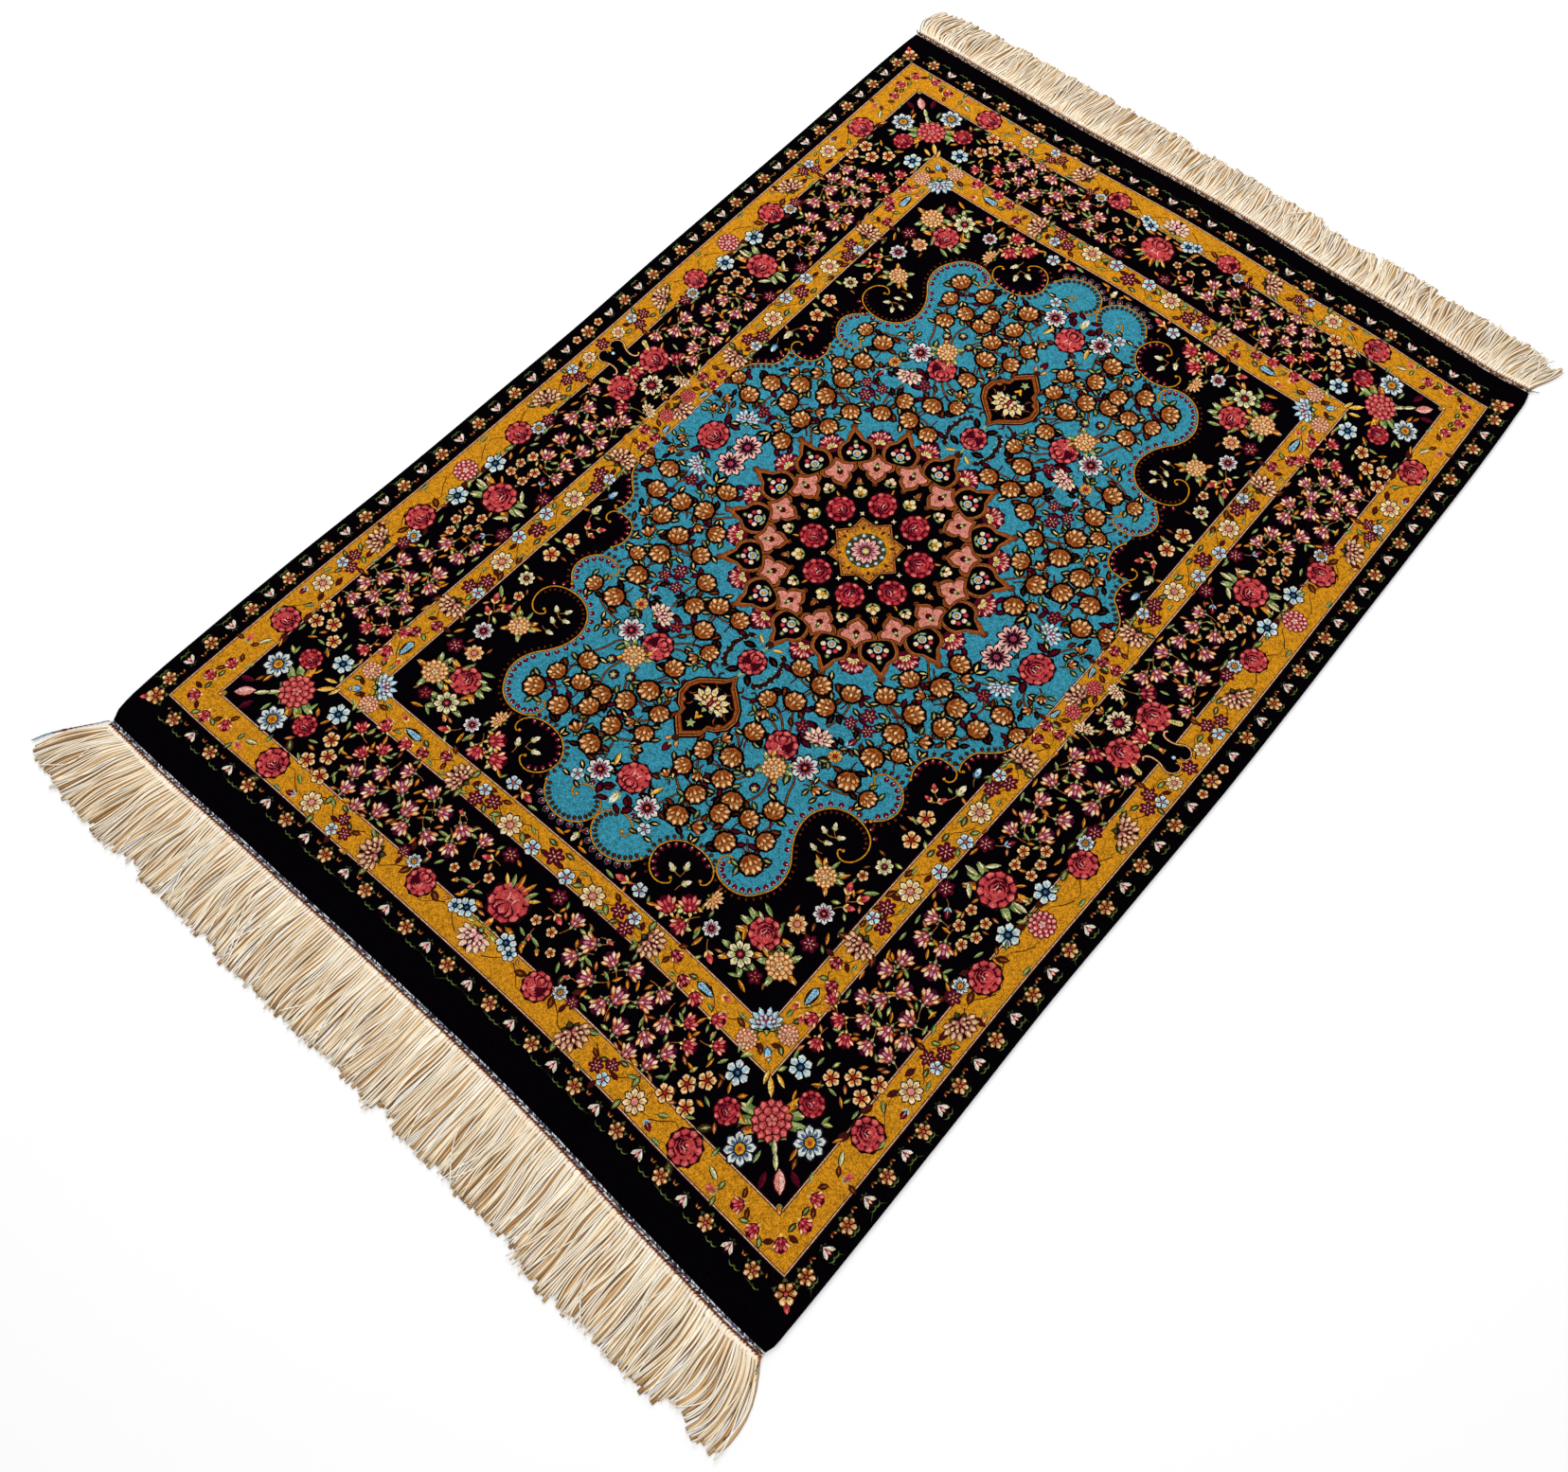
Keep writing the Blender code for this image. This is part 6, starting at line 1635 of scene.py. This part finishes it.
def nodeGroup(name, inputs, outputs):
    # an empty shader group with named sockets: the group, its input node and its output node
    group = bpy.data.node_groups.new(name, "ShaderNodeTree")
    for label, kind, value in inputs:
        socket = group.interface.new_socket(label, in_out="INPUT", socket_type=kind)
        if value is not None:
            socket.default_value = value
    for label, kind in outputs:
        group.interface.new_socket(label, in_out="OUTPUT", socket_type=kind)
    return group, group.nodes.new("NodeGroupInput"), group.nodes.new("NodeGroupOutput")


def addNode(tree, kind, inputs=(), **values):
    # one node with its settings; an input is a value or another node's output
    node = tree.nodes.new(kind)
    for key, value in values.items():
        setattr(node, key, value)
    for key, value in dict(inputs).items():
        if isinstance(value, bpy.types.NodeSocket):
            tree.links.new(value, node.inputs[key])
        else:
            node.inputs[key].default_value = value
    return node


def knotGrainGroup():
    # rows of knots: two sine waves across each other, broken up by noise; gives a height and a tone
    group, start, end = nodeGroup("knotGrain", [
        ("Place", "NodeSocketVector", None), ("Pitch", "NodeSocketFloat", 0.0011),
        ("Uneven", "NodeSocketFloat", 0.5)], [("Height", "NodeSocketFloat"), ("Tone", "NodeSocketFloat")])
    scale = addNode(group, "ShaderNodeMath", {0: 1.0, 1: start.outputs["Pitch"]}, operation="DIVIDE")
    cells = addNode(group, "ShaderNodeTexVoronoi",
                    {"Vector": start.outputs["Place"], "Scale": scale.outputs[0],
                                                    "Randomness": start.outputs["Uneven"]})
    coarse = addNode(group, "ShaderNodeTexNoise",
                     {"Vector": start.outputs["Place"], "Scale": 190.0, "Detail": 4.0,
                                                   "Roughness": 0.65})
    colour = addNode(group, "ShaderNodeSeparateColor", {0: cells.outputs["Color"]})
    tone = addNode(group, "ShaderNodeMix", {0: 0.55, 2: colour.outputs[0], 3: coarse.outputs["Fac"]},
                   data_type="FLOAT")
    group.links.new(cells.outputs["Distance"], end.inputs["Height"])
    group.links.new(tone.outputs[0], end.inputs["Tone"])
    return group


def usedGroup(tree, group, inputs):
    # the group placed in a material with its own values
    return addNode(tree, "ShaderNodeGroup", inputs, node_tree=group)


def multiplied(tree, first, second):
    # the product of two values
    return addNode(tree, "ShaderNodeMath", {0: first, 1: second}, operation="MULTIPLY").outputs[0]


def tinted(tree, colour, by):
    # a colour times a colour or a value
    return addNode(tree, "ShaderNodeMix", {0: 1.0, 6: colour, 7: by}, data_type="RGBA",
                   blend_type="MULTIPLY").outputs[2]


def finished(tree, shader, colour, strength, distance, height):
    # the colour and a small bump go into the material's own shader
    tree.links.new(colour, shader.inputs["Base Color"])
    bump = addNode(tree, "ShaderNodeBump", {"Strength": strength, "Distance": distance, "Height": height})
    tree.links.new(bump.outputs[0], shader.inputs["Normal"])


def blankMaterial(name, roughness, sheen, sheenTint, specular):
    # a material with one Principled shader set for yarn: the material, its tree and its shader
    material = bpy.data.materials.new(name)
    material.use_nodes = True
    tree = material.node_tree
    shader = tree.nodes["Principled BSDF"]
    shader.inputs["Roughness"].default_value = roughness
    shader.inputs["Sheen Weight"].default_value = sheen
    shader.inputs["Sheen Roughness"].default_value = 0.4
    shader.inputs["Sheen Tint"].default_value = sheenTint
    shader.inputs["Specular IOR Level"].default_value = specular
    return material, tree, shader


def silkPile(grain):
    # the knotted silk: each face's own colour, uneven from knot to knot, with a painted sheen that makes it
    # paler where it is seen at a slant
    material, tree, shader = blankMaterial("silkPile", 0.72, 0.002, (1.0, 0.94, 0.82, 1.0), 0.0)
    place = addNode(tree, "ShaderNodeTexCoord").outputs["Object"]
    yarn = addNode(tree, "ShaderNodeAttribute", attribute_name="yarn").outputs["Color"]
    knots = usedGroup(tree, grain, {"Place": place, "Pitch": 0.0011, "Uneven": 0.8})
    lift = addNode(tree, "ShaderNodeMapRange",
                   {0: knots.outputs["Tone"], 1: 0.25, 2: 0.75, 3: 0.34, 4: 1.22})
    # painted sheen: the base colour is multiplied up where the surface is seen at a slant
    slant = addNode(tree, "ShaderNodeLayerWeight", {"Blend": 0.5}).outputs["Facing"]
    paintedSheen = addNode(tree, "ShaderNodeMapRange", {0: slant, 1: 0.10, 2: 0.55, 3: 0.95, 4: 1.16})
    both = multiplied(tree, lift.outputs[0], paintedSheen.outputs[0])
    finished(tree, shader, tinted(tree, yarn, both), 0.35, 0.0004, knots.outputs["Height"])
    return material


def clothMaterial(grain):
    # the woven back: near black, uneven from knot to knot
    material, tree, shader = blankMaterial("carpetBack", 0.8, 0.002, (1.0, 1.0, 1.0, 1.0), 0.0)
    place = addNode(tree, "ShaderNodeTexCoord").outputs["Object"]
    knots = usedGroup(tree, grain, {"Place": place, "Pitch": 0.0014, "Uneven": 0.4})
    ramp = addNode(tree, "ShaderNodeValToRGB", {0: knots.outputs["Tone"]})
    ramp.color_ramp.elements[0].color = (0.0015, 0.001, 0.0015, 1)
    ramp.color_ramp.elements[1].color = (0.006, 0.004, 0.006, 1)
    finished(tree, shader, ramp.outputs[0], 0.5, 0.0005, knots.outputs["Height"])
    return material


def yarnMaterial(name, grain, roughness, sheen, pitch, low, high, twisted):
    # twisted yarn: its own colour, uneven along its length, with painted shade that darkens and browns it
    # down its sides and between its turns
    material, tree, shader = blankMaterial(name, roughness, sheen, (1.0, 0.97, 0.9, 1.0), 0.2)
    place = addNode(tree, "ShaderNodeTexCoord").outputs["Object"]
    yarn = addNode(tree, "ShaderNodeAttribute", attribute_name="yarn").outputs["Color"]
    knots = usedGroup(tree, grain, {"Place": place, "Pitch": pitch, "Uneven": 1.0})
    lift = addNode(tree, "ShaderNodeMapRange", {0: knots.outputs["Tone"], 1: 0.2, 2: 0.8, 3: low, 4: high})
    # painted shade: faces whose normals lie level, down the sides of each yarn, are darkened to 0.30
    normal = addNode(tree, "ShaderNodeNewGeometry").outputs["Normal"]
    facing = addNode(tree, "ShaderNodeSeparateXYZ", {0: normal}).outputs[2]
    side = addNode(tree, "ShaderNodeMapRange", {0: facing, 1: 0.0, 2: 0.62, 3: 0.30, 4: 1.0})
    shade = multiplied(tree, lift.outputs[0], side.outputs[0])
    height = knots.outputs["Height"]
    if twisted:
        turns = addNode(tree, "ShaderNodeUVMap", uv_map="twist").outputs[0]
        apart = addNode(tree, "ShaderNodeSeparateXYZ", {0: turns})
        along = multiplied(tree, apart.outputs[1], 1 / 0.0034)   # one turn in this many metres
        both = addNode(tree, "ShaderNodeMath", {0: apart.outputs[0], 1: along}, operation="ADD").outputs[0]
        angle = multiplied(tree, both, 12.566)                   # two grooves to a turn
        wave = addNode(tree, "ShaderNodeMath", {0: angle}, operation="SINE")
        # painted shade in the grooves between the turns of the plies
        grooveShade = addNode(tree, "ShaderNodeMapRange", {0: wave.outputs[0], 1: -1.0, 2: 0.2, 3: 0.80, 4: 1.05})
        shade = multiplied(tree, shade, grooveShade.outputs[0])
        height = addNode(tree, "ShaderNodeMath", {0: wave.outputs[0], 1: 1.0, 2: height},
                         operation="MULTIPLY_ADD").outputs[0]
    # the painted shade also turns the darkened parts a warmer brown
    warmShade = addNode(tree, "ShaderNodeMix", {0: shade, 6: (0.50, 0.36, 0.22, 1), 7: (1, 1, 1, 1)},
                   data_type="RGBA")
    finished(tree, shader, tinted(tree, yarn, warmShade.outputs[2]), 0.4, 0.0002, height)
    return material


# floor, lights and camera; the camera stands where the photo was taken from
studio = {
    "eye": (0.5015, -0.6876, 1.3735),
    "right": (0.754258, 0.656466, -0.012142),
    "up": (-0.597914, 0.694390, 0.400400),
    "back": (0.271281, -0.294745, 0.916260),
    "lens": 30.24,
    "floor": 9,            # half its size
    "floorAt": -0.0003,
    "sky": 0.55,
    "lamps": [  # name, place, size, watts; both aim at the middle
        ("windowLight", (-2.2, 2.2, 2.4), 2.0, 75),
        ("topLight", (0.3, -0.3, 3.2), 2.5, 45)],
}


def makeStudio():
    # a camera from its three axes, a pale floor, an even white sky and two soft lamps
    scene = bpy.context.scene
    camera = bpy.data.objects.new("camera", bpy.data.cameras.new("camera"))
    camera.data.sensor_width = 36.0
    camera.data.sensor_fit = "HORIZONTAL"
    camera.data.lens = studio["lens"]
    camera.data.clip_start = 0.01
    turn = Matrix((studio["right"], studio["up"], studio["back"])).transposed().to_4x4()
    turn.translation = studio["eye"]
    camera.matrix_world = turn
    scene.collection.objects.link(camera)
    scene.camera = camera

    floorMesh = bpy.data.meshes.new("floor")
    reach, z = studio["floor"], studio["floorAt"]
    corners = [(-reach, -reach, z), (reach, -reach, z), (reach, reach, z), (-reach, reach, z)]
    floorMesh.from_pydata(corners, [], [(0, 1, 2, 3)])
    floor = bpy.data.objects.new("floor", floorMesh)
    paint = bpy.data.materials.new("floorPaint")
    paint.use_nodes = True
    shader = paint.node_tree.nodes["Principled BSDF"]
    shader.inputs["Base Color"].default_value = (0.94, 0.94, 0.94, 1)
    shader.inputs["Roughness"].default_value = 0.9
    shader.inputs["Specular IOR Level"].default_value = 0.1
    floorMesh.materials.append(paint)
    scene.collection.objects.link(floor)

    world = bpy.data.worlds.new("softLight")
    world.use_nodes = True
    world.node_tree.nodes["Background"].inputs[0].default_value = (1, 1, 1, 1)
    world.node_tree.nodes["Background"].inputs[1].default_value = studio["sky"]
    scene.world = world
    for name, at, size, power in studio["lamps"]:
        data = bpy.data.lights.new(name, "AREA")
        data.size = size
        data.energy = power
        lamp = bpy.data.objects.new(name, data)
        lamp.location = at
        lamp.rotation_euler = Vector(at).to_track_quat("Z", "Y").to_euler()
        scene.collection.objects.link(lamp)
    scene.view_settings.view_transform = "Standard"
    scene.view_settings.exposure = 0.0


makeStudio()
print("studio ready", flush=True)
grain = knotGrainGroup()
pileMaterial = silkPile(grain)
backMaterial = clothMaterial(grain)
bandMaterial = yarnMaterial("twinedYarn", grain, 0.6, 0.05, 0.0006, 0.7, 1.0, False)
fringeMaterial = yarnMaterial("warpEnds", grain, 0.6, 0.1, 0.0009, 0.8, 1.0, True)

pilePieces = makePile(pileMaterial)
cloth = makeCloth(backMaterial)
rng = np.random.default_rng(7)
nearYarns = [(34, 28, 42), (226, 232, 236), (136, 146, 166), (120, 130, 110), (110, 74, 104)]
farYarns = [(66, 44, 36), (226, 216, 200), (136, 108, 88), (168, 134, 100), (84, 72, 80)]
bandNear = makeBand("near", bandMaterial, nearYarns, [(92, 32, 22), (176, 98, 50)], rng)
bandFar = makeBand("far", bandMaterial, farYarns, [(100, 44, 28), (196, 140, 90)], rng)
fringeNear = makeFringe("near", fringeMaterial, rng)
fringeFar = makeFringe("far", fringeMaterial, rng)

for piece in [cloth] + pilePieces + [bandNear, bandFar, fringeNear, fringeFar]:
    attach(piece, "root")
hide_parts("carpet")
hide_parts("end_band_near")
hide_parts("end_band_far")
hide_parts("fringe_near")
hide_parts("fringe_far")
